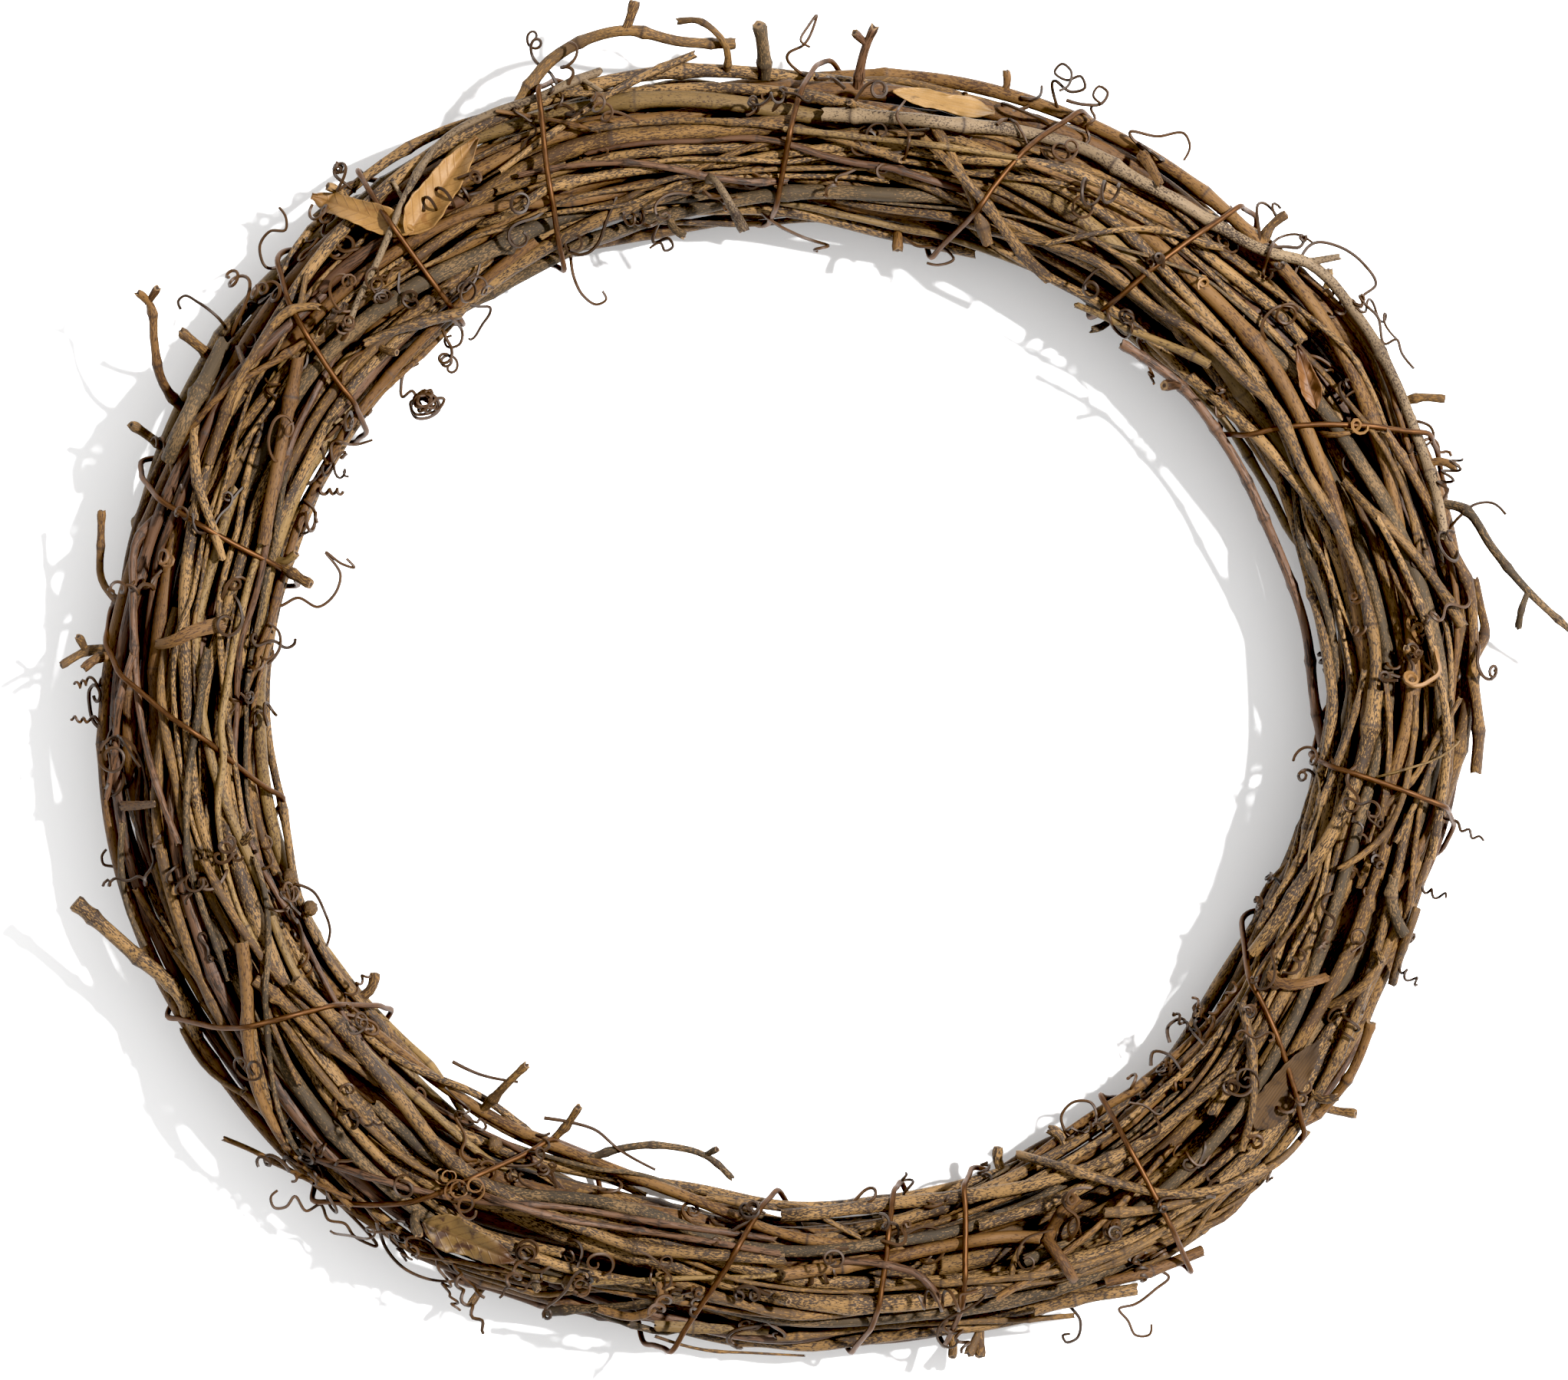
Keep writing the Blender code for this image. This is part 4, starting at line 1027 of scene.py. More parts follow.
@dataclass(frozen=True)
class Bark:
    """Dried vine bark: stringy, dull and flecked where its outer layer has worn off, with rings at its nodes.

    The flecks and fibres are drawn on the cane as if it were straight, so they run along it round every bend.
    """

    name: str
    ground: str
    second_ground: str
    fleck: str
    fleck_share: float
    fleck_mm: Span
    fibre_depth: float
    roughness: Span
    ring: str = "#271c15"
    fibre_mm: Span = (0.24, 9.0)
    patch_mm: float = 14.0
    tone_mm: float = 55.0
    gloss: float = 0.2

    def make(self) -> Material:
        """Makes the material.

        Returns:
            The material.
        """
        paint = Paint(self.name)
        place = paint.read("straight", "Vector")
        patches = paint.noise(place, 0.5 * self.patch_mm, self.patch_mm, 1.0)
        fibres = paint.noise(place, *self.fibre_mm, 4.0)
        slow = paint.noise(place, 0.5 * self.tone_mm, self.tone_mm, 1.0)
        # A fleck shows where the small noise and a share of the large one pass a level that sets their share
        level = 0.5 + 0.28 * (0.5 - self.fleck_share)
        patchy = paint.math("MULTIPLY_ADD", patches, 0.45, -0.225)
        raised = paint.math("ADD", paint.noise(place, *self.fleck_mm), patchy)
        fleck = paint.ramp(raised, (level - 0.035, level + 0.035), kind="SMOOTHSTEP")
        share = paint.ramp(paint.math("ADD", slow, paint.read("tone")), (0.32, 0.72), kind="SMOOTHSTEP")
        spotted = paint.mix(fleck, paint.mix(share, self.ground, self.second_ground), self.fleck)
        streaks = paint.ramp(fibres, (0.25, 0.75), (1 - self.fibre_depth, 1 + 0.6 * self.fibre_depth))
        colour = paint.mix(paint.read("ring_line"), paint.shade(spotted, streaks), self.ring)
        roughness = paint.ramp(fibres, (0.0, 1.0), self.roughness)
        return paint.give(paint.math("MULTIPLY_ADD", fleck, 0.35, fibres), 0.7, 0.2, BaseColor=colour,
                          Roughness=roughness, SpecularIORLevel=self.gloss)


BARKS = {
    MOTTLED: Bark("mottled_vine_bark", "#6d5332", "#5c4426", "#2c2016", 0.46, (0.32, 1.1), 0.3, (0.5, 0.72)),
    BROWN: Bark("brown_vine_bark", "#44321e", "#362516", "#614726", 0.38, (0.32, 1.2), 0.36, (0.55, 0.78)),
    GREY: Bark("grey_vine_bark", "#372c1e", "#2b2217", "#59452d", 0.3, (0.34, 1.0), 0.34, (0.6, 0.82)),
    TAN: Bark("tan_vine_bark", "#593f20", "#4b3217", "#342111", 0.3, (0.34, 1.3), 0.33, (0.5, 0.72)),
    REDDISH: Bark("reddish_vine_bark", "#4d3625", "#3c2718", "#24170c", 0.3, (0.4, 4.0), 0.32, (0.42, 0.6)),
    STRAW: Bark("straw_vine_stem", "#654f2e", "#534024", "#372718", 0.25, (0.3, 0.9), 0.28, (0.45, 0.65)),
    SILVER: Bark("silver_vine_bark", "#675641", "#524331", "#2b1f15", 0.24, (0.36, 0.6), 0.2, (0.5, 0.7)),
}


@dataclass(frozen=True)
class CutWood:
    """The pale end grain of a snapped or cut cane, with a dark spongy pith."""

    name: str = "snapped_vine_wood"
    wood: str = "#634e36"
    pith: str = "#281c14"
    ring_mm: float = 0.5
    pith_mm: Span = (0.35, 0.7)

    def make(self) -> Material:
        """Makes the material.

        Returns:
            The material.
        """
        paint = Paint(self.name)
        place = paint.read("straight", "Vector")
        radius = paint.vectors("LENGTH", {0: paint.vectors("MULTIPLY", {0: place, 1: (1.0, 1.0, 0.0)})[0]})[1]
        grain = paint.noise(place, self.ring_mm, self.ring_mm)
        outside = paint.ramp(radius, tuple(mm * MM for mm in self.pith_mm))
        share = paint.ramp(paint.math("MULTIPLY", outside, grain), (0.1, 0.6))
        return paint.give(grain, 0.3, 0.1, BaseColor=paint.mix(share, self.pith, self.wood), Roughness=0.85,
                          SpecularIORLevel=0.2)


@dataclass(frozen=True)
class ThinSkin:
    """The skin of a strand too thin to show more than a grain: a dried tendril, or iron wire brown with rust.

    A tendril is hard and dark, with a dull gloss along its ridge. The wire is smooth enough for a highlight.
    """

    name: str
    dark: str
    light: str
    grain_mm: Span = (0.3, 4.0)
    span: Span = (0.3, 0.8)
    roughness: Span = (0.5, 0.6)
    metallic: float = 0.0
    gloss: float = 0.25
    depth_mm: float = 0.04

    def make(self) -> Material:
        """Makes the material.

        Returns:
            The material.
        """
        paint = Paint(self.name)
        grain = paint.noise(paint.read("straight", "Vector"), *self.grain_mm)
        share = paint.ramp(paint.math("ADD", grain, paint.read("tone")), self.span)
        return paint.give(grain, 0.8, self.depth_mm, BaseColor=paint.mix(share, self.dark, self.light),
                          Roughness=paint.ramp(grain, (0.0, 1.0), self.roughness), Metallic=self.metallic,
                          SpecularIORLevel=self.gloss)


DARK_TENDRIL = ThinSkin("dry_tendril", "#211305", "#3d260e")
TAN_TENDRIL = ThinSkin("pale_dry_tendril", "#4a3119", "#674a27")
BINDING = ThinSkin("rust_brown_wire", "#36200c", "#56371a", (0.4, 2.5), (0.35, 0.7), (0.42, 0.65),
                   metallic=0.8, gloss=0.5, depth_mm=0.02)


@dataclass(frozen=True)
class DryLeaf:
    """A dried leaf: thin and brittle, tan between darker veins, browned towards its tip and in blotches."""

    name: str
    blade: str
    tip: str
    vein: str
    blotch: str
    blotch_share: float = 0.3
    tip_from: float = 0.75
    vein_mm: float = 3.0
    vein_ways: Span = (1.0, 1.1)
    roughness: float = 0.55
    vein_strength: float = 0.5

    def make(self) -> Material:
        """Makes the material.

        Returns:
            The material.
        """
        paint = Paint(self.name)
        place = paint.read("blade_place", "Vector")
        length, width, run = paint.node("ShaderNodeSeparateXYZ", {0: place})
        cloud, grain = paint.noise(place, 4.0, 4000.0, 4.0), paint.noise(place, 0.45, 450.0, 4.0)
        # Veins lie a few mm apart, counted along the midrib or across it: slanted, or along the blade
        side = paint.math("ABSOLUTE", width)
        counted = paint.math("MULTIPLY", length, self.vein_ways[0])
        slid = paint.math("MULTIPLY_ADD", side, -self.vein_ways[1], counted)
        side_vein = paint.ramp(paint.math("PINGPONG", slid, 0.5 * self.vein_mm * MM), (0.32 * MM, 0.05 * MM))
        vein = paint.math("MAXIMUM", side_vein, paint.ramp(side, (0.5 * MM, 0.15 * MM)))
        level = 0.5 + 0.3 * (0.5 - self.blotch_share)
        base = paint.mix(paint.ramp(cloud, (level, level + 0.12), kind="SMOOTHSTEP"), self.blade, self.blotch)
        tipward = paint.math("MULTIPLY_ADD", cloud, 0.25, run)
        tipped = paint.mix(paint.ramp(tipward, (self.tip_from, self.tip_from + 0.3)), base, self.tip)
        shaded = paint.shade(tipped, paint.ramp(grain, (0.0, 1.0), (0.78, 1.18)))
        colour = paint.mix(paint.math("MULTIPLY", vein, self.vein_strength), shaded, self.vein)
        return paint.give(paint.math("MULTIPLY_ADD", grain, 0.5, vein), 0.5, 0.15, BaseColor=colour,
                          Roughness=self.roughness, SpecularIORLevel=0.25)


# Strands and the skins round them


@dataclass
class Strand:
    """A round piece's line, in points close enough together to look curved, and its radius at each."""

    points: Array
    radii: Array

    @classmethod
    def through(cls, points: Sequence[Sequence[float]], radii: Sequence[float], step: float) -> Strand:
        """Draws a smooth strand through points.

        Args:
            points: the points.
            radii: the radius at each.
            step: how far apart the strand's own points lie.

        Returns:
            The strand.
        """
        knots = np.array(points, float)
        widths = np.array(radii, float)
        gaps = np.maximum(lengths_of(np.diff(knots, axis=0)), 1e-7)
        slopes = np.diff(knots, axis=0) / gaps[:, None]
        lean = np.empty_like(knots)
        both = (gaps[:-1] + gaps[1:])[:, None]
        lean[1:-1] = (slopes[1:] * gaps[:-1, None] + slopes[:-1] * gaps[1:, None]) / both
        lean[0] = 1.5 * slopes[0] - 0.5 * (lean[1] if len(knots) > 2 else slopes[0])
        lean[-1] = 1.5 * slopes[-1] - 0.5 * (lean[-2] if len(knots) > 2 else slopes[-1])
        placed, thickness = [], []
        for k, gap in enumerate(gaps):
            count = max(1, round(gap / step))
            t = (np.arange(count + (k == len(gaps) - 1)) / count)[:, None]
            placed.append((1 + 2 * t) * (1 - t) ** 2 * knots[k] + t * (1 - t) ** 2 * gap * lean[k]
                          + t ** 2 * (3 - 2 * t) * knots[k + 1] + t ** 2 * (t - 1) * gap * lean[k + 1])
            thickness.append((1 - t[:, 0]) * widths[k] + t[:, 0] * widths[k + 1])
        return cls(np.concatenate(placed), np.concatenate(thickness))

    def lengths(self) -> Array:
        """How far along the strand each point lies."""
        return np.append(0.0, np.cumsum(lengths_of(np.diff(self.points, axis=0))))

    def at(self, places: Array) -> Strand:
        """Reads the strand at other points.

        Args:
            places: how far along it they lie.

        Returns:
            The strand through them.
        """
        own = self.lengths()
        points = np.stack([np.interp(places, own, self.points[:, axis]) for axis in range(3)], axis=1)
        return Strand(points, np.interp(places, own, self.radii))

    def frames(self) -> tuple[Array, Array]:
        """Carries two directions, square to the strand and to each other, along it without twist.

        Returns:
            The two directions at each point.
        """
        runs = np.gradient(self.points, axis=0)
        runs /= np.maximum(lengths_of(runs), 1e-12)[:, None]
        first = np.cross(runs[0], (0.0, 0.0, 1.0))
        if np.linalg.norm(first) < 0.1:
            first = np.cross(runs[0], (1.0, 0.0, 0.0))
        across = [first / np.linalg.norm(first)]
        for run in runs[1:]:
            carried = across[-1] - run * float(across[-1] @ run)
            across.append(carried / math.sqrt(float(carried @ carried)))
        across = np.array(across)
        return across, np.cross(runs, across)


class Skin:
    """Wraps strands in closed tubes in one mesh, and keeps at each vertex what its patterns read."""

    SHARP_DEGREES = 60

    def __init__(self, name: str) -> None:
        """Starts an empty piece.

        Args:
            name: the piece's name.
        """
        self.name = name
        self.shape = bmesh.new()
        layers = self.shape.verts.layers
        self.straight = layers.float_vector.new("straight")
        self.line = layers.float.new("ring_line")
        self.tone = layers.float.new("tone")

    def wrap(self, strand: Strand, sides: int, swell: Array | None = None, lines: Array | None = None,
             tone: float = 0.0, start: float = 0.0, snapped: Array | None = None) -> None:
        """Wraps one strand.

        Args:
            strand: the strand.
            sides: how many sides its tube has.
            swell: the share of its radius at each point and side, or None for plain round.
            lines: how dark a ring it has at each point, from 0 to 1, or None for no ring.
            tone: how far its colour leans to the finish's second ground.
            start: how far along its pattern it starts.
            snapped: how far each side's splinters stand out at its two ends, or None for a clean cut.
        """
        count = len(strand.points)
        first, second = strand.frames()
        turns = math.tau * np.arange(sides + 1) / sides
        radii = strand.radii[:, None] * (np.ones((count, sides)) if swell is None else swell)
        radii = np.concatenate([radii, radii[:, :1]], axis=1)
        x, y = radii * np.cos(turns), radii * np.sin(turns)
        places = strand.points[:, None] + x[..., None] * first[:, None] + y[..., None] * second[:, None]
        if snapped is not None:
            tips = np.concatenate([snapped, snapped[:, :1]], axis=1)
            places[0] += tips[0][:, None] * (strand.points[0] - strand.points[1]) / MM
            places[-1] += tips[1][:, None] * (strand.points[-1] - strand.points[-2]) / MM
        lengths = strand.lengths() + start
        dark = np.zeros(count) if lines is None else lines
        made = bmesh.ops.create_grid(self.shape, x_segments=count - 1, y_segments=sides, size=0.5)["verts"]
        for number, corner in enumerate(made):
            m, n = divmod(number, count)
            corner.co = places[n, m]
            corner[self.straight] = (x[n, m], y[n, m], lengths[n])
            corner[self.line] = dark[n]
            corner[self.tone] = tone
        bmesh.ops.weld_verts(self.shape, targetmap=dict(zip(made[sides * count:], made[:count])))

    def ball(self, centre: Sequence[float], radius: float, tone: float = 0.0) -> None:
        """Adds a small rough ball, such as a seed head.

        Args:
            centre: its middle.
            radius: its radius.
            tone: how far its colour leans to the finish's second ground.
        """
        made = bmesh.ops.create_icosphere(self.shape, subdivisions=3, radius=radius)["verts"]
        for number, corner in enumerate(made):
            rough = 1 + 0.1 * math.sin(2.4 * number)
            corner[self.straight] = corner.co
            corner[self.tone] = tone
            corner.co = Vector(centre) + corner.co * rough

    def finish(self, finish: Material, ends: Material | None, nodes: Sequence[str], slot: str) -> None:
        """Closes the tubes and makes the piece.

        Args:
            finish: the material of its sides.
            ends: the material of its cut ends, or None for the same.
            nodes: the solids that it stands for.
            slot: the record's material slot that it takes its finish from; not used.
        """
        caps = bmesh.ops.holes_fill(self.shape, edges=self.shape.edges, sides=0)["faces"]
        if ends:
            for cap in bmesh.ops.poke(self.shape, faces=caps)["faces"]:
                cap.material_index = 1
        bmesh.ops.recalc_face_normals(self.shape, faces=self.shape.faces)
        made = add_shape(self.name, self.shape, (finish, ends) if ends else (finish,))
        made.data.shade_smooth()
        made.data.set_sharp_from_angle(angle=math.radians(self.SHARP_DEGREES))
        join_wreath(made, nodes)


def add_object(name: str, data: bpy.types.ID) -> bpy.types.Object:
    """Puts an object into the scene.

    Args:
        name: its name.
        data: its mesh, lamp or lens.

    Returns:
        The object.
    """
    made = bpy.data.objects.new(name, data)
    bpy.context.scene.collection.objects.link(made)
    return made


def add_shape(name: str, shape: bmesh.types.BMesh, materials: Sequence[Material]) -> bpy.types.Object:
    """Puts a finished shape into the scene, and frees it.

    Args:
        name: its name.
        shape: the shape.
        materials: its materials.

    Returns:
        The object.
    """
    mesh = bpy.data.meshes.new(name)
    shape.to_mesh(mesh)
    shape.free()
    for material in materials:
        mesh.materials.append(material)
    return add_object(name, mesh)


def join_wreath(piece: bpy.types.Object, nodes: Sequence[str]) -> None:
    """Makes an object a piece of the wreath.

    Args:
        piece: the object.
        nodes: the solids that it stands for.
    """
    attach(piece, "root")
    if nodes:
        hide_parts(*nodes)
    LOG.info("%s: %d faces", piece.name, len(piece.data.polygons))


@dataclass(frozen=True)
class Growth:
    """How a vine cane departs from a plain rod: swollen nodes with a bud scar, and a bend at each."""

    # Where a cane has points on both sides of a node
    JOINT_STEPS = np.array((-6, -3.4, -1.9, -1.0, -0.4, 0.2, 0.9, 1.8, 3.2, 6)) * MM

    internode: Span = (52 * MM, 96 * MM)
    swelling: float = 0.2
    swelling_length: float = 3.6 * MM
    collar: float = 0.07
    scar: float = 0.45
    bend: float = 0.5 * MM
    ridges: float = 0.035
    splinter: float = 1.0 * MM
    flatness: float = 1.0
    step: float = 4.0 * MM
    sides: int = 12
    node_sizes: Span = (0.6, 1.25)
    scar_depths: Span = (0.2, 1.0)
    ring_darkness: Span = (0.5, 0.95)
    bare_end: float = 4 * MM
    node_reach: float = 7 * MM

    def grow(self, skin: Skin, strand: Strand, random: Draws, tone: float) -> None:
        """Wraps a cane with its nodes.

        Args:
            skin: the piece that the cane is in.
            strand: the cane's line, finely stepped.
            random: the seeded source of every draw.
            tone: how far its colour leans to the finish's second ground.
        """
        whole = strand.lengths()[-1]
        joints = [random.uniform(0.3, 1.0) * self.internode[0]]
        while joints[-1] + self.internode[0] < whole:
            joints.append(joints[-1] + random.uniform(*self.internode))
        joints = np.array([joint for joint in joints if joint < whole - self.bare_end])
        steps = np.arange(0.0, whole, self.step)
        if len(joints):
            from_joint = np.abs(steps[:, None] - joints[None]).min(axis=1)
            extra = (joints[:, None] + self.JOINT_STEPS[None]).ravel()
            extra = extra[(extra > 0) & (extra < whole)]
            steps = np.concatenate([steps[from_joint > self.node_reach], extra])
        steps = np.unique(np.concatenate([[0.0, 1 * MM, whole - 1 * MM, whole], steps]))
        fine = strand.at(steps)
        turns = math.tau * np.arange(self.sides) / self.sides
        phases = random.uniform(0, math.tau, 4)
        s = steps[:, None]
        swell = (1 + 0.6 * self.ridges * np.cos(2 * turns + phases[0] + 12 * s)
                 + self.ridges * np.cos(3 * turns + phases[1] - 9 * s)
                 + 0.5 * self.ridges * np.cos(5 * turns + phases[2])
                 + 0.03 * np.sin(55 * s + phases[3]) + 0.02 * np.sin(131 * s + phases[0]))
        lines = np.zeros(len(steps))
        side = random.uniform(0, math.tau)
        zigzag = np.zeros(len(steps))
        if len(joints):
            zigzag = self.bend * np.interp(steps, joints, np.where(np.arange(len(joints)) % 2, 1.0, -1.0))
        for number, joint in enumerate(joints):
            off = steps - joint
            size = random.uniform(*self.node_sizes)
            swell += size * self.swelling * bell(off, 0.0, self.swelling_length)[:, None]
            swell += size * self.collar * bell(off, 0.2 * MM, 0.5 * MM)[:, None]
            facing = side + math.pi * (number % 2)
            turned = np.abs((turns - facing + math.pi) % math.tau - math.pi)
            scar = size * self.scar * random.uniform(*self.scar_depths)
            swell += scar * bell(off, 1.0 * MM, 1.6 * MM)[:, None] * bell(turned, 0.0, 0.5)
            line = random.uniform(*self.ring_darkness) * bell(off, -0.4 * MM, 0.45 * MM)
            lines = np.maximum(lines, line)
        swell /= np.sqrt(np.cos(turns) ** 2 + (np.sin(turns) / self.flatness) ** 2)
        first, second = fine.frames()
        fine.points = fine.points + zigzag[:, None] * (first * math.cos(side) + second * math.sin(side))
        snapped = random.uniform(-0.5, 0.8, (2, self.sides)) * self.splinter
        skin.wrap(fine, self.sides, swell, lines, tone, random.uniform(0, 5), snapped)


@dataclass
class Finishes:
    """Every material of the canes, the tendrils and the wire, made once."""

    barks: dict[BarkKind, Material] = field(
        default_factory=lambda: {kind: bark.make() for kind, bark in BARKS.items()})
    cut: Material = field(default_factory=CutWood().make)
    tendril: Material = field(default_factory=DARK_TENDRIL.make)
    pale_tendril: Material = field(default_factory=TAN_TENDRIL.make)
    wire: Material = field(default_factory=BINDING.make)


@dataclass
class Bundle:
    """The wound canes, each the piece that stands for its solid."""

    canes: CaneRoutes
    finishes: Finishes
    growth: Growth = Growth()
    slimness: float = 0.94
    bar_length: float = 7 * MM
    strands: list[Strand] = field(default_factory=list)

    def build(self) -> None:
        """Builds every cane, on its solid."""
        for cane in range(self.canes.count):
            random = np.random.default_rng(self.canes.seed + cane)
            points, radii = self.canes.route(cane)
            strand = Strand.through(points, [radius * self.slimness for radius in radii], FINE_STEP)
            self.strands.append(strand)
            skin = Skin(f"wound_cane_{cane + 1:02d}")
            self.growth.grow(skin, strand, random, random.uniform(-0.18, 0.18))
            bark = BARK_ORDER[cane % len(BARK_ORDER)]
            skin.finish(self.finishes.barks[bark], self.finishes.cut, (f"cane_{cane + 1:02d}",), bark.value)

    def bars(self, clearance: float) -> Bars:
        """Turns the canes' smooth lines into bars, for what lies over them.

        Args:
            clearance: how far apart the pieces lie.

        Returns:
            The bars.
        """
        made = Bars(clearance)
        for cane, strand in enumerate(self.strands):
            lengths = strand.lengths()
            coarse = strand.at(np.linspace(0.0, lengths[-1], max(2, round(lengths[-1] / self.bar_length))))
            made.add(cane, coarse.points, coarse.radii)
        return made


@dataclass(frozen=True)
class StemRun:
    """How a group of stems lies on the bundle: lengths in degrees round the ring, turns of the section."""

    count: int
    radii: Span
    arc: Span
    wander: Span
    growth: Growth
    forks: float = 0.0
    rise: float = 0.0
    slack: int = 20
    slide: float = 14.0
    ways: Span = (-12, 160)


STEM_RUNS = (
    StemRun(34, (1.1 * MM, 1.8 * MM), (50, 130), (20, 90), Growth(bend=0.7 * MM, sides=10), ways=(-35, 160)),
    StemRun(18, (1.1 * MM, 1.7 * MM), (60, 130), (5, 25), Growth(bend=0.7 * MM, sides=10), ways=(-60, -10)),
    StemRun(5, (1.1 * MM, 1.6 * MM), (50, 120), (5, 30), Growth(bend=0.7 * MM, sides=10), ways=(165, 220)),
    StemRun(40, (0.6 * MM, 1.1 * MM), (35, 110), (20, 90),
            Growth(internode=(35 * MM, 70 * MM), bend=0.5 * MM, step=3.5 * MM, sides=8,
                   swelling_length=2 * MM)),
    StemRun(38, (0.9 * MM, 1.7 * MM), (9, 32), (22, 75),
            Growth(internode=(12 * MM, 36 * MM), bend=0.7 * MM, step=3 * MM, sides=9, swelling=0.28,
                   ridges=0.06, swelling_length=2.4 * MM), 0.45, 1.8 * MM, 60, 6.0),
)


@dataclass(frozen=True)
class KnownStem:
    """A stem that the eye picks out, which lies over all the others.

    Its radii are in mm, at its two ends, and its places are (angle in degrees, radius in mm) as seen from
    above. Each fork has the number of the place that it leaves from and its own places. A flatness under 1
    makes it a strip of bark.
    """

    bark: BarkKind
    radii: Span
    places: FlatPlaces
    forks: tuple[tuple[int, FlatPlaces], ...] = ()
    flatness: float = 1.0


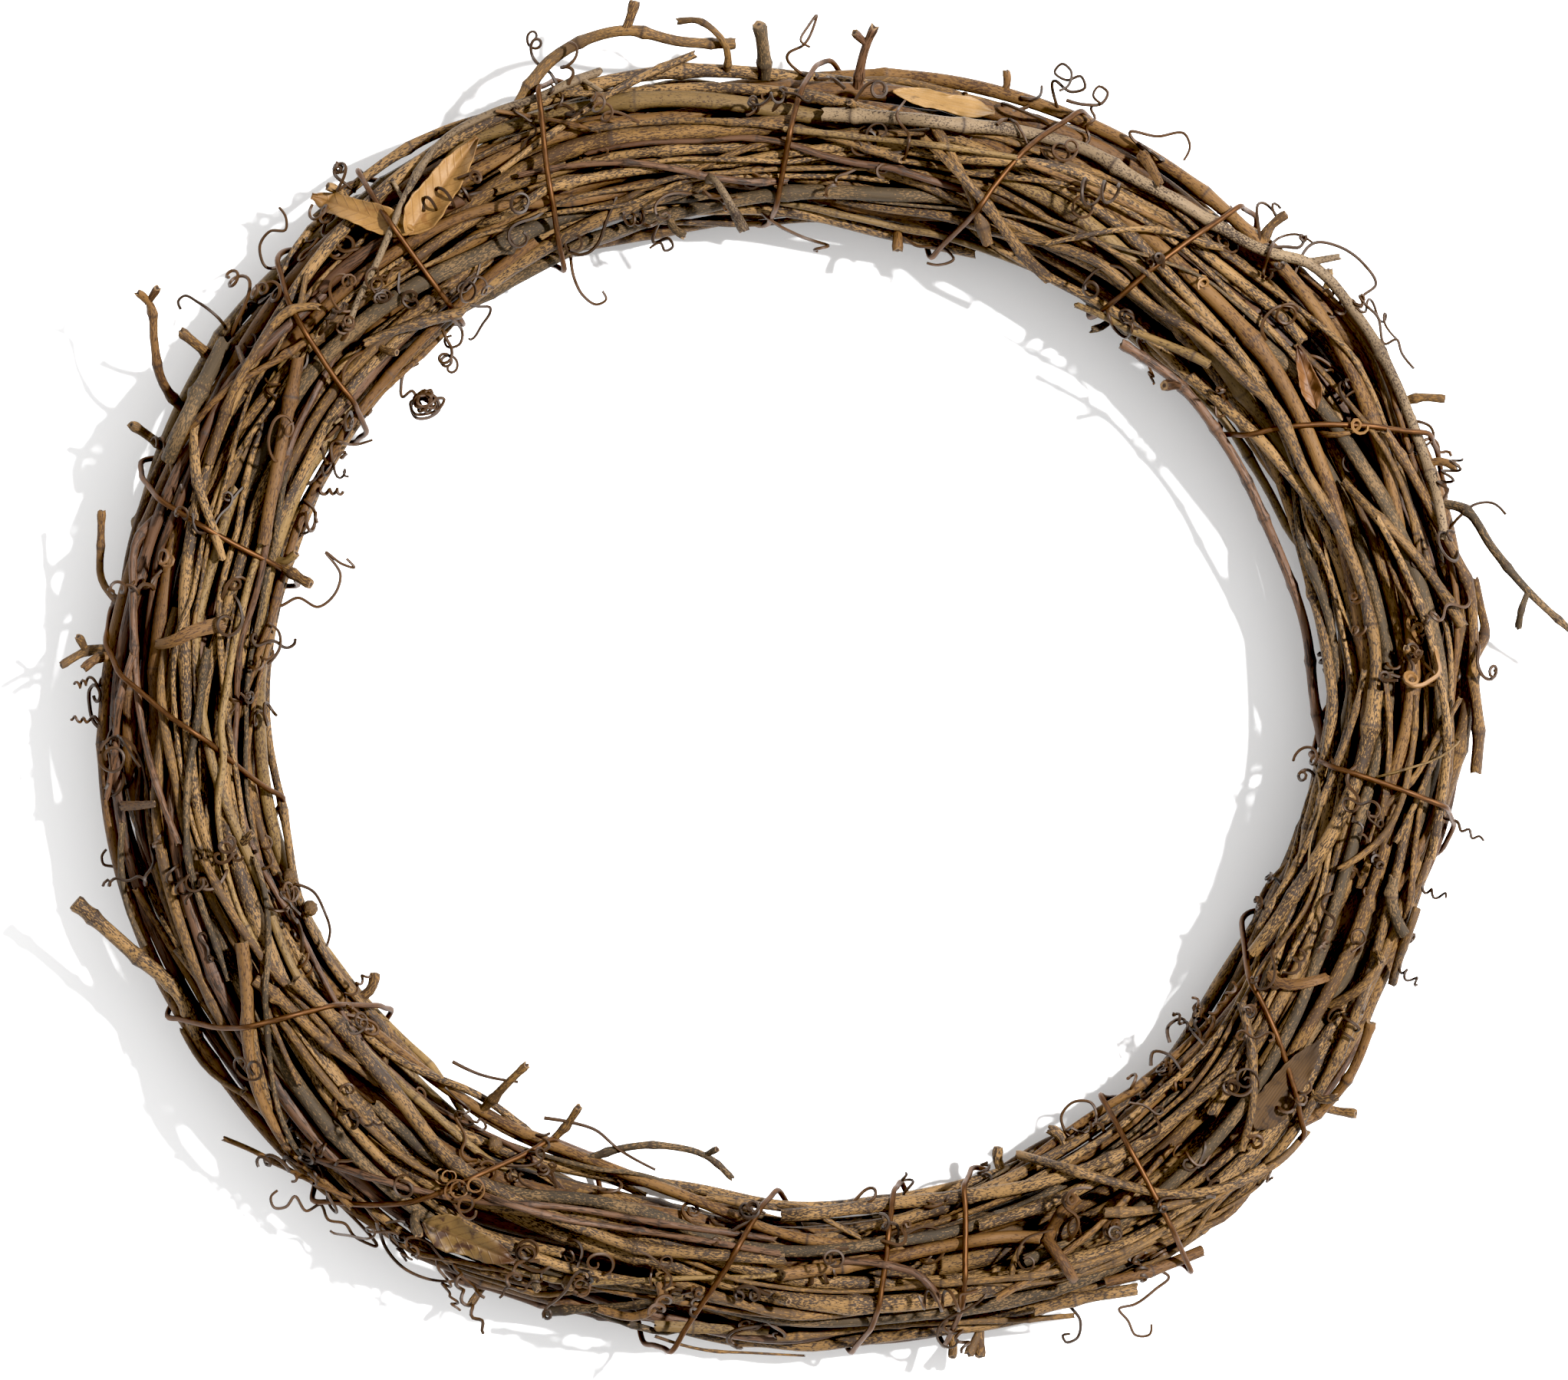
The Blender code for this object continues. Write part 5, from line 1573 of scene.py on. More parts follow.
KNOWN_STEMS = (
    KnownStem(MOTTLED, (2.0, 1.5), ((210, 148), (217.3, 144.8), (225.4, 145.3), (233.2, 148.7),
        (240.4, 148.8), (248.1, 148), (253.5, 148.6), (260.6, 146.4), (269.2, 145.8))),
    KnownStem(MOTTLED, (1.8, 1.5), ((269.1, 134.8), (280.3, 134.3), (291.2, 138.9), (299.7, 143.1),
        (307.5, 146.7), (315.8, 148.2), (320.2, 150.2))),
    KnownStem(MOTTLED, (2.1, 1.7), ((0.3, 150.5), (-5.7, 148.7), (-12.6, 144.9), (-21.6, 139.4),
        (-29.3, 136.7))),
    KnownStem(TAN, (1.7, 1.3), ((204.5, 155.2), (208.9, 159.9), (212.9, 166.6), (217, 171.9),
        (221.7, 175.1))),
    KnownStem(TAN, (1.7, 1.8), ((269.2, 149.8), (276.9, 148.5), (284.6, 148.3), (292.2, 151.8), (295, 155.6)),
        ((4, ((297.1, 151.4), (300.2, 149))), (4, ((295.5, 162.2), (295.7, 167.5))))),
    KnownStem(SILVER, (1.9, 1.3), ((86.8, 149.5), (80.9, 150.3), (74.7, 152.3), (67.7, 157), (62, 159.8),
        (56.1, 159.9), (52, 161.8), (48.3, 163.7), (42.9, 168.1), (39.9, 174.2), (33.6, 176.1), (28.7, 176),
        (23.5, 175.6), (18.1, 174.9), (12.9, 173.2)), ((9, ((38.6, 181.5),)),)),
    KnownStem(REDDISH, (1.0, 0.8), ((224.4, 172.1), (229.3, 164.7), (235.5, 157.2), (245.4, 145.2),
        (256.9, 140.3), (268.8, 141.2))),
    KnownStem(REDDISH, (0.9, 0.8), ((237.5, 152.2), (245.4, 147.9), (256.9, 143), (268.8, 144))),
    KnownStem(GREY, (0.9, 0.7), ((196.9, 144.9), (200.6, 145.3), (205.5, 149.2), (210.6, 157.2),
        (215.4, 165.2), (219, 170.7), (223.5, 174.9))),
    KnownStem(MOTTLED, (1.3, 1.2), ((296.3, 133.6), (300.1, 141.4), (303.7, 151.6), (307, 161.3),
        (310.8, 168.5), (315.4, 173.1))),
    KnownStem(MOTTLED, (1.2, 1.0), ((325.4, 140.9), (321.9, 150.7), (318.2, 159.1), (314.6, 165.3))),
    KnownStem(STRAW, (0.9, 0.7), ((90.8, 145.3), (82.6, 144.3), (74.3, 146.2), (66.7, 150.1))),
    KnownStem(TAN, (0.8, 0.7), ((66.1, 149.4), (61.8, 150.5), (55.5, 153), (50.2, 155.7))),
    KnownStem(REDDISH, (0.9, 1.1), ((275.3, 147.1), (280, 150), (282.5, 154), (283.7, 162.1))),
    KnownStem(BROWN, (0.9, 0.8), ((-17.6, 148.3), (-13.7, 156.3), (-5.7, 160.5), (0.3, 161))),
    KnownStem(BROWN, (1.3, 1.0), ((158.4, 161.7), (149.2, 163.6), (141.9, 161.2), (140.4, 156.1)), ((2,
        ((138.7, 166.3),)), (1, ((147.7, 170.2),)))),
    KnownStem(TAN, (1.65, 1.6), ((145.8, 153.5), (154.2, 146), (164.1, 141.4))),
    KnownStem(GREY, (2.0, 1.9), ((148.4, 173.5), (155, 171.7), (159.8, 172.7))),
    KnownStem(SILVER, (1.1, 0.8), ((107.2, 168.9), (108.9, 168.5), (112.5, 167.6), (117.9, 169.3),
        (122.3, 169.2), (125, 166.7), (128.2, 162.1), (130.8, 158.1), (134.2, 154), (138.4, 150.6),
        (141.3, 147.5)), ((6, ((127.8, 169.6),)), (1, ((107.2, 162.1),)))),
    KnownStem(TAN, (0.6, 0.5), ((116.8, 168.4), (113, 161.1), (109, 153.4))),
    KnownStem(TAN, (0.7, 0.6), ((218.1, 187.7), (220, 184.3), (222.5, 181), (226.3, 176.2), (228.9, 173.2))),
    KnownStem(GREY, (0.9, 0.8), ((191, 177.1), (194.6, 180.3), (197.5, 181.6), (201.3, 180.8))),
    KnownStem(TAN, (1.1, 1.0), ((252.6, 167.1), (256.6, 165.2), (258, 159), (257.3, 155.5))),
    KnownStem(TAN, (0.9, 0.7), ((26.4, 152), (25.5, 155.2), (25.1, 159))),
    KnownStem(TAN, (1.5, 1.4), ((306.4, 180.2), (302.3, 177), (298, 173.3))),
    KnownStem(MOTTLED, (1.7, 1.6), ((300.1, 178.2), (296, 173.8), (291.6, 171.5))),
    KnownStem(BROWN, (1.3, 1.2), ((334.3, 173.6), (337, 171.3), (341, 170.5))),
    KnownStem(GREY, (1.6, 1.2), ((338.5, 169.5), (340.3, 164.5), (343, 162))),
    KnownStem(BROWN, (0.45, 0.3), ((258, 170.5), (262, 171.8), (266.5, 171.4), (271, 171.8))),
    KnownStem(STRAW, (0.35, 0.25), ((-8.1, 152.7), (-7, 159.5), (-5.5, 168.3), (-3.6, 173.7))),
    KnownStem(STRAW, (0.35, 0.25), ((-7.9, 137.2), (-12.1, 139.3), (-16, 139), (-19.6, 141.1))),
    KnownStem(TAN, (2.1, 1.3), ((173, 147.5), (174.1, 155.1), (175.2, 160), (175.6, 164.5)), (), 0.3),
    KnownStem(TAN, (1.6, 1.0), ((57.2, 167.1), (55.6, 164.8), (54.1, 162.2)), (), 0.35),
    KnownStem(TAN, (1.4, 0.9), ((189.5, 176.2), (189.7, 171), (189.8, 166.5)), (), 0.35),
    KnownStem(STRAW, (1.5, 1.2), ((257.8, 168.2), (262.7, 166.7), (268.3, 166.3)), (), 0.4),
    KnownStem(TAN, (1.7, 1.2), ((329.8, 143.3), (329.4, 146.9), (331, 152.8), (332.6, 157.5)), (), 0.35),
)

# Where small dried fruit heads sit on the canes: the angle in degrees and the radius in mm
FRUIT_HEADS = ((108.0, 161.4), (236.6, 139.8), (249.3, 162.6), (204.0, 137.2), (200.0, 139.0))


def over(ring: Ring, bars: Bars, places: FlatPlaces, radius: float, height: float = 30 * MM, slack: int = 40,
         step: float = 1.5 * MM) -> Array:
    """Lays a line over what lies under it.

    Args:
        ring: the ring.
        bars: what lies under it.
        places: its angles in degrees and radii in mm, as seen from above.
        radius: its own radius.
        height: how high it lies where nothing is under it.
        slack: for how many rounds it is drawn tight.
        step: how far apart its points lie.

    Returns:
        Its points.
    """
    knots = [ring.at(degrees, reached, 0.0) for degrees, reached in places]
    line = Strand.through(knots, [0.0] * len(knots), step).points
    line[:, 2] = ring.middle_z
    ways = np.zeros_like(line)
    ways[:, 2] = 1.0
    reach = bars.surface(line, ways[:, None], radius)[:, 0]
    met = np.flatnonzero(reach)
    if not len(met):
        met, reach[0] = np.array([0]), height - ring.middle_z
    return taut(line, ways, np.interp(np.arange(len(line)), met, reach[met]), slack)


@dataclass
class LaidStems:
    """Stems and broken pieces that lie over the canes, in the grooves between them, held down by the wire."""

    ring: Ring
    finishes: Finishes
    bars: Bars
    leaves: Bars
    step: float = 5 * MM
    slide_steps: int = 8
    slide_cost: float = 0.12 * MM
    root_sink: float = 0.8
    head_radius: float = 2 * MM
    mean_radius: float = 150 * MM
    floor_clearance: float = 1.7
    fork_from: Span = (0.25, 0.6)
    fork_degrees: Span = (5, 12)
    fork_turns: Span = (18, 38)
    seed: int = 5

    def build(self) -> None:
        """Lays the stems over the canes, each over those before it."""
        random = np.random.default_rng(self.seed)
        skins = {kind: Skin(f"laid_stems_{kind.value}") for kind in BarkKind}
        number = 0
        for run in STEM_RUNS:
            for place in range(run.count):
                skin = skins[LAID_ORDER[number % len(LAID_ORDER)]]
                start = 360 * (place * EVEN_SPREAD + 0.37 * run.arc[0]) % 360
                self.lay(run, skin, start, random, number)
                number += 1
        self.bars.include(self.leaves)
        for known in KNOWN_STEMS:
            self.lay_known(known, skins[known.bark], random)
        for degrees, reached in FRUIT_HEADS:
            ends = ((degrees, reached), (degrees + 1, reached))
            skins[BROWN].ball(over(self.ring, self.bars, ends, self.head_radius)[0], self.head_radius)
        for kind, skin in skins.items():
            skin.finish(self.finishes.barks[kind], self.finishes.cut, (), kind.slot)

    def lay_known(self, known: KnownStem, skin: Skin, random: Draws) -> None:
        """Lays one stem that the eye picks out, with its forks.

        Args:
            known: the stem.
            skin: the piece that it is part of.
            random: the seeded source of every draw.
        """
        growth = Growth(internode=(24 * MM, 60 * MM), bend=0.3 * MM, step=3 * MM, sides=10, swelling=0.24,
                        flatness=known.flatness, swelling_length=2.6 * MM)
        thick, thin = known.radii
        line = over(self.ring, self.bars, known.places, thick * MM)
        lines = [(line, np.linspace(thick, thin, len(line)) * MM)]
        for leaves_from, places in known.forks:
            knee = known.places[leaves_from]
            root = min(line, key=lambda point, at=self.ring.at(*knee, 0.0): (Vector(point) - at).xy.length)
            fork = over(self.ring, self.bars, (knee, *places), 0.8 * thin * MM, root[2])
            fork[0] = root
            lines.append((fork, np.linspace(0.85, 0.7, len(fork)) * thin * MM))
        for points, radii in lines:
            self.bars.add(0, points, radii * known.flatness)
            strand = Strand.through(points[::2], radii[::2], FINE_STEP)
            growth.grow(skin, strand, random, random.uniform(-0.2, 0.2))

    def lay(self, run: StemRun, skin: Skin, start: float, random: Draws, number: int) -> None:
        """Lays one stem, and its fork if it has one.

        Args:
            run: the group that it belongs to.
            skin: the piece that it is part of.
            start: the angle that it starts at, in degrees.
            random: the seeded source of every draw.
            number: its number.
        """
        arc = random.uniform(*run.arc)
        radius = random.uniform(*run.radii)
        first = random.uniform(*run.ways)
        inwards = 1 if first < 0.5 * sum(run.ways) else -1
        swing = random.uniform(*run.wander) * inwards * random.choice((1, 1, -0.6))
        last = min(max(first + swing, run.ways[0]), run.ways[1])
        tone = random.uniform(-0.25, 0.25)
        angles, turns, points = self.path((start, start + arc), (first, last), radius, run)
        if self.leaves.push(points, radius, -1, self.leaves.near(points)).any():
            return
        own = 1000 + number
        share = np.linspace(0.0, 1.0, len(points))
        radii = radius * (1 - 0.3 * share)
        self.bars.add(own, points, radii)
        run.growth.grow(skin, Strand.through(points[::2], radii[::2], FINE_STEP), random, tone)
        if random.uniform() < run.forks:
            leaves = int(random.uniform(*self.fork_from) * len(points))
            side = -1 if last > first else 1
            reach = random.uniform(*self.fork_degrees)
            ends = (math.degrees(angles[leaves]), math.degrees(angles[leaves]) + reach)
            spread = math.degrees(turns[leaves]) + side * random.uniform(*self.fork_turns)
            _, _, fork = self.path(ends, (math.degrees(turns[leaves]), spread), 0.7 * radius, run)
            fork[0] = points[leaves]
            thick = np.linspace(0.8, 0.6, len(fork)) * radius
            self.bars.add(own, fork, thick)
            run.growth.grow(skin, Strand.through(fork[::2], thick[::2], FINE_STEP), random, tone)

    def path(self, ends: Span, ways: Span, radius: float, run: StemRun) -> tuple[Array, Array, Array]:
        """Finds a stem's way along the grooves between what it lies on.

        Args:
            ends: the angles that it runs between, in degrees.
            ways: its directions in the cross-section at those ends, in degrees.
            radius: its radius.
            run: the group that it belongs to.

        Returns:
            Its angles, its directions in the cross-section and its points.
        """
        length = math.radians(ends[1] - ends[0]) * self.mean_radius
        count = 2 * max(3, round(0.5 * length / self.step)) + 1
        angles = np.radians(np.linspace(*ends, count))
        turns = np.radians(np.linspace(*ways, count))
        slides = np.radians(np.linspace(-run.slide, run.slide, 2 * self.slide_steps + 1))
        middles = np.array([self.ring.in_world(angle, 0.0, 0.0) for angle in angles])
        tried = turns[:, None] + slides[None]
        out = np.stack([np.cos(angles), np.sin(angles), np.zeros(count)], axis=1)
        rays = np.cos(tried)[..., None] * out[:, None] + np.sin(tried)[..., None] * np.array(UP)
        reach = self.bars.surface(middles, rays, radius)
        best = self.least_way(reach)
        rows = np.arange(count)
        chosen, directions = reach[rows, best], rays[rows, best]
        from_end = np.minimum(rows, count - 1 - rows)
        lift = run.rise * np.clip(1 - from_end / 4, 0, 1) ** 2
        chosen = chosen + lift - self.root_sink * radius * (from_end == 0) * (run.rise == 0)
        line = taut(middles, directions, chosen, run.slack)
        line[:, 2] = np.maximum(line[:, 2], self.floor_clearance * radius)
        return angles, tried[rows, best], line

    def least_way(self, reach: Array) -> Array:
        """Chooses one slide at each place, so that the stem lies low and never slides far between places.

        Args:
            reach: how far out the stem lies, for each place and each slide.

        Returns:
            The number of the slide chosen at each place.
        """
        count, slides = reach.shape
        total = reach[0].copy()
        came = np.zeros((count, slides), int)
        for n in range(1, count):
            padded = np.pad(total, 1, constant_values=np.inf)
            steps = np.stack([padded[:-2] + self.slide_cost, padded[1:-1], padded[2:] + self.slide_cost])
            pick = steps.argmin(axis=0)
            came[n] = np.arange(slides) + pick - 1
            total = steps[pick, np.arange(slides)] + reach[n]
        best = np.zeros(count, int)
        best[-1] = total.argmin()
        for n in range(count - 1, 0, -1):
            best[n - 1] = came[n, best[n]]
        return best


class CurlForm(Enum):
    """The ways in which a tendril curls.

    Each has its bend at the start and at the end, in shares of a full loop, how far the bend swings between,
    and how far it rolls out of its plane and runs on at each step, in shares of its size.
    """

    SPRING = (1.0, 1.2, 0.1, 0.0, 0.17)
    LOOPS = (0.9, 1.4, 0.3, 0.1, 0.05)
    HOOK = (0.1, 1.6, 0.1, 0.05, 0.0)
    WAVE = (0.3, 1.3, 1.2, 0.06, 0.05)
    BALL = (1.0, 1.2, 0.2, 0.5, 0.0)

    def path(self, foot: Vector, heading: Vector, up: Vector, size: float, turns: float,
             random: Draws) -> list[Vector]:
        """Draws a curl by walking along it with a bend that keeps changing.

        Args:
            foot: where it starts.
            heading: the way that it runs.
            up: the way out of the bundle.
            size: the radius of its loops.
            turns: how many it has.
            random: the seeded source of every draw.

        Returns:
            Its points, after the foot.
        """
        first, last, swing, roll, run = self.value
        hand = random.choice((-1, 1))
        steps = max(LEAST_STEPS, round(LOOP_STEPS * turns))
        phase, waver, place = random.uniform(0, math.tau), 0.0, foot.copy()
        way, axis = (up.cross(heading).normalized(), heading) if self is CurlForm.SPRING else (heading, up)
        points = []
        for n in range(steps):
            share = n / steps
            waver = 0.7 * waver + random.normal(0.0, 0.13)
            swung = swing * math.sin(4.4 * turns * share + phase)
            bend = first + (last - first) * share ** 1.5 + swung + waver
            way = Quaternion(axis, hand * bend * math.tau / LOOP_STEPS) @ way
            axis = Quaternion(way, roll * random.uniform(0.3, 1.6)) @ axis
            place = place + (way * math.tau / LOOP_STEPS + heading * run) * size
            points.append(place)
        return points


CURL_ORDER = (CurlForm.LOOPS, CurlForm.HOOK, CurlForm.WAVE, CurlForm.LOOPS, CurlForm.HOOK, CurlForm.SPRING)
TANGLE_FORMS = (CurlForm.LOOPS, CurlForm.LOOPS, CurlForm.HOOK, CurlForm.WAVE, CurlForm.BALL)

# The way of a tendril that the eye picks out, by its number in TENDRILS: angles in degrees and radii in mm
TENDRIL_WAYS: dict[int, FlatPlaces] = {
    0: ((90.2, 166.3), (89, 168.1), (88.1, 173.2), (87.9, 175.8), (88.6, 172.9), (89.2, 168.9),
        (88.4, 167.4)),
    1: ((66.7, 173.1), (65.1, 172.1), (64.2, 174.6), (64.9, 176.7), (65.9, 174.2), (67.1, 174.9),
        (66.8, 177.5), (65.9, 176.8), (65.6, 172.6), (66.1, 170.7)),
    2: ((58.9, 170.4), (56.8, 172.8), (54.9, 177.3), (54, 175.5), (53.7, 171.5)),
    3: ((40.7, 179.6), (39, 183.7), (37.1, 185.4), (35, 184.7), (34.8, 179.9), (32.7, 180.4), (30.5, 178.5),
        (30.4, 181.4), (29.2, 180.8), (27.6, 181.6)),
    4: ((23.4, 178), (22.7, 179.9), (21.8, 179.6), (21.4, 177.1)),
    5: ((14.9, 180.1), (15.5, 184.6), (15.2, 189.1), (14.1, 191.5)),
    6: ((349.2, 173.1), (349.1, 176.5), (348.4, 177.9), (348.7, 179.6), (348, 180.9), (348.3, 182.5),
        (348, 183.8)),
    7: ((301.7, 173.6), (302.5, 178), (302.9, 180.8), (301.4, 181.7), (299.3, 182.3), (298, 181.4),
        (298.2, 185.1), (298.2, 189.3), (299.2, 190.8), (299.7, 188.7)),
    8: ((294.4, 175.4), (294.7, 180.1), (293.8, 183.9), (292.9, 183.5), (292.9, 181.6), (293.5, 181.9)),
    9: ((232.6, 181), (231, 181.8), (229.9, 180.8), (228.6, 182.8), (227.3, 181.2), (226.8, 184.9),
        (225.3, 184.2), (225.4, 187.7), (224.8, 189.9), (224, 188.5), (224, 186.1)),
    10: ((146.7, 179.2), (146.6, 184.7), (146.8, 188.8), (147.4, 189.2), (147.8, 187.5)),
    11: ((140.9, 176.7), (139.8, 180.8), (138.4, 181), (137.5, 178.3), (136.7, 180.5), (136.5, 183.4)),
    14: ((195.1, 182.5), (194.4, 182.4), (193.9, 185), (193.2, 184.8), (192.8, 183.3)),
    15: ((170.3, 135.3), (169, 130.6), (169.6, 125), (167.8, 121.5), (165.2, 121.1), (163.1, 126.3),
        (163.9, 121.2), (163.9, 118), (163.1, 120.6)),
    16: ((138.6, 130.0), (140.1, 131.1), (141.7, 129.6), (142.7, 127.4), (141.4, 126.3), (141.6, 124.3),
        (140.2, 121.0), (141.0, 117.8), (142.6, 118.4), (143.7, 121.3), (142.8, 124.0), (141.5, 122.9),
        (140.5, 120.2), (141.4, 118.1), (142.6, 119.5), (143.4, 121.9), (142.6, 124.4), (141.4, 122.3),
        (141.2, 117.6), (139.7, 118.0), (141.4, 121.6)),
    18: ((117.7, 121), (117.7, 117.2), (116.5, 113), (115.2, 113.2), (115.2, 115.5)),
    19: ((106.9, 122.6), (105.1, 122.6), (104.9, 120.3), (106, 119.8), (106.2, 121.9), (107.7, 121.5)),
    20: ((77.2, 123.8), (74.6, 121.1), (71.2, 122.5), (69.6, 120.7), (71.2, 117.8), (72.6, 117.4)),
    21: ((34.8, 136.6), (34.3, 133), (33, 131.6), (32.9, 133.9), (34, 135.3), (31.7, 135.5)),
    22: ((302, 134.2), (302.5, 130.3), (304.7, 128.9), (306.2, 131.7), (305.7, 135.6), (303.8, 137),
        (302.8, 134.1)),
    23: ((201.2, 137.5), (202.3, 134.9), (204.9, 134.1), (207.2, 135), (208.5, 137.6)),
}

# The ways of the long dark tendrils that lie over the canes and their edges
LOOSE_WAYS: tuple[FlatPlaces, ...] = (
    ((65.2, 169.5), (63.5, 170.6), (62.3, 172.8), (62.3, 176), (63.2, 176.3), (63.3, 173.6), (62.3, 172.5)),
    ((50.8, 128.8), (48.6, 126.2), (46.7, 127.1), (47.4, 129.8), (48.9, 129.4)),
    ((41.5, 162.8), (43.1, 173.2), (42.3, 177.2), (40.9, 178.8)),
    ((317.3, 134.1), (318.5, 131), (320.2, 132.3), (319.8, 136.7), (319.6, 139.8)),
    ((314, 134.7), (315.3, 132.6), (316.2, 135.4), (315.8, 140.9)),
    ((239.7, 127.3), (243.1, 124.7), (245.6, 123.9), (249.2, 126.2), (254, 128.2)),
    ((227.3, 129.7), (230.5, 127.6), (234.8, 123)),
    ((231.8, 174), (233.4, 178.5), (235.8, 180.6), (238, 179.6), (240.6, 175.5)),
    ((132.2, 131.6), (132.3, 127.4), (133.6, 125.5), (134.8, 127.3), (134.4, 129.1), (133.5, 128.5)),
    ((158.3, 136.2), (159, 132.8), (161, 131.7), (162.1, 133.9)),
    ((153.4, 133.4), (151.1, 135.7), (150.6, 132.1), (148.8, 127.7)),
    ((176.8, 136.2), (174.5, 133.3), (172.9, 134.4), (172.3, 136.6)),
    ((78.2, 140.8), (78.2, 146.8), (79.7, 150.7), (79.2, 156.3)),
    ((70.2, 155.9), (69.4, 159.1), (67.8, 156.7), (66.8, 154.3)),
)


@dataclass
class Outgrowth:
    """The twigs, stubs and tendrils that the solids have, in their real shapes."""

    shoots: Shoots
    finishes: Finishes
    climb: float = 0.5
    tip: float = 0.8
    strand_step: float = 0.6 * MM
    sides: int = 6
    curled: int = 0
    knotted: int = 16
    knot_radius: float = 3.2 * MM
    knot_places: int = 54

    def build(self) -> None:
        """Builds a piece for each cane's twigs and stubs of one bark, and one for its tendrils."""
        random = np.random.default_rng(self.shoots.canes.seed)
        skins: dict[tuple[int, BarkKind], Skin] = {}
        curls: dict[int, Skin] = {}
        for shoot in self.shoots.grown:
            if shoot.kind is ShootKind.TENDRIL:
                skin = curls.setdefault(shoot.cane, Skin(f"tendrils_of_cane_{shoot.cane + 1:02d}"))
                self.tendril(skin, shoot, random)
            else:
                name = f"{shoot.bark.value}_twigs_of_cane_{shoot.cane + 1:02d}"
                skin = skins.setdefault((shoot.cane, shoot.bark), Skin(name))
                self.twig(skin, shoot, random)
        for (cane, bark), skin in skins.items():
            skin.finish(self.finishes.barks[bark], self.finishes.cut, (f"cane_{cane + 1:02d}",), bark.slot)
        for cane, skin in curls.items():
            skin.finish(self.finishes.tendril, None, (f"cane_{cane + 1:02d}",), BROWN.value)

    def tendril(self, skin: Skin, shoot: Grown, random: Draws) -> None:
        """Wraps a tendril on the stem that its solid has, with its own curl, thinning towards its tip.

        Args:
            skin: the piece that it is part of.
            shoot: the tendril as its solid lies.
            random: the seeded source of every draw.
        """
        root, middle, foot = shoot.points[:3]
        heading = (foot - root).normalized()
        level = Vector((heading.x, heading.y, 0.0)).normalized()
        _, _, _, _, size, turns = TENDRILS[self.curled]
        curl = CurlForm.LOOPS.path(foot, level, UP, 0.85 * size * MM, turns + 0.6, random)
        points = [root, middle, foot, *curl]
        if self.curled in TENDRIL_WAYS:
            ring = self.shoots.canes.ring
            ways = enumerate(TENDRIL_WAYS[self.curled])
            points = [root, *(ring.at(*place, foot.z / MM + self.climb * n) for n, place in ways)]
        if self.curled == self.knotted:
            points += self.knot(points[-1])
        self.curled += 1
        radii = np.linspace(shoot.radii[0], self.tip * shoot.radii[0], len(points))
        skin.wrap(Strand.through(points, radii, self.strand_step), self.sides,
                  tone=random.uniform(-0.2, 0.2), start=random.uniform(0, 5))

    def knot(self, middle: Vector) -> list[Vector]:
        """Winds a tendril's end round a point, like a ball of string.

        Args:
            middle: the point.

        Returns:
            The places that it passes.
        """
        points = []
        for n in range(self.knot_places):
            loop, plane = 0.7 * n, math.tau * n / self.knot_places
            across = along(plane) * 0.6 + UP * 0.8
            reach = self.knot_radius * (0.85 + 0.15 * math.sin(2.3 * n))
            points.append(middle + (outward(plane) * math.cos(loop) + across * math.sin(loop)) * reach)
        return points

    def twig(self, skin: Skin, shoot: Grown, random: Draws) -> None:
        """Wraps a twig or stub, knobbly at its tip.

        Args:
            skin: the piece that it is part of.
            shoot: the twig or stub as its solid lies.
            random: the seeded source of every draw.
        """
        strand = Strand.through(shoot.points, shoot.radii, 1 * MM)
        lengths = strand.lengths()
        strand.radii = strand.radii * (1 + 0.28 * bell(lengths - lengths[-1], -1.2 * MM, 1.3 * MM))
        growth = Growth(internode=(9 * MM, 22 * MM), bend=0.25 * MM, step=1.6 * MM, sides=10, ridges=0.06,
                        swelling_length=1.6 * MM, swelling=0.22)
        growth.grow(skin, strand, random, random.uniform(-0.2, 0.2))


# Where dark tendrils lie tangled among the canes: the angle in degrees and the radius in mm
TANGLES = (
    (308.2, 131.6), (303.5, 133.4), (288, 132.7), (277.6, 132), (319.4, 134.8), (315.5, 135.3),
    (336.5, 138.5), (327, 142.1), (282, 140.4), (311.4, 160.5), (317, 166.8), (335.4, 164.1), (337.4, 150.4),
    (342.4, 156.6), (301.7, 175.1), (345.5, 158.2), (201.3, 137.6), (206.6, 137.6), (215, 132.6),
    (234.7, 131.5), (236.6, 140.3), (243.1, 139.3), (235.5, 154.8), (233.3, 179.4), (237.8, 179.3),
    (240.4, 177.5), (250.4, 160.9), (245.9, 160.4), (181.4, 180.4), (180.7, 134.7), (223, 180.5),
    (225.6, 179.4), (195.8, 149.5), (192.3, 173.9), (62.6, 177.3), (56.7, 169.7), (34.1, 178.6),
    (22.4, 178.4), (46.9, 130.7), (34.2, 133.9), (50.4, 145.1), (82.8, 134.4), (3.6, 160.6), (64.6, 174.9),
    (40, 167.7), (44.8, 168), (110.2, 163.6), (118.2, 160.9), (123.4, 162), (136.7, 176.2), (142.1, 175.6),
    (147, 179.2), (158.7, 175.3), (151.1, 131.5), (157.4, 131.7), (104.1, 151.6), (100.7, 128.4), (93, 154),
    (134.1, 145), (143.9, 154), (170, 170), (191.9, 170), (9.6, 148), (221.7, 161), (298, 160), (259, 158),
    (268, 170), (263, 137),
)


# The pale tendrils on the canes: the angle in degrees, the turn in the cross-section in radians, the radius
# of the loops in mm and the share of a dark one's thickness
PALE_CURLS = (
    (233.8, 1.5, 2.2, 0.7), (235.0, 1.6, 2.8, 0.65), (236.6, 1.5, 2.4, 0.7), (2.8, 1.3, 1.7, 1.2),
    (3.8, 1.25, 2.0, 1.3), (4.6, 1.35, 1.5, 1.2), (47.5, 1.5, 1.8, 0.9), (26.0, 1.5, 1.8, 1.2),
    (169.0, 1.1, 1.8, 1.1),
)


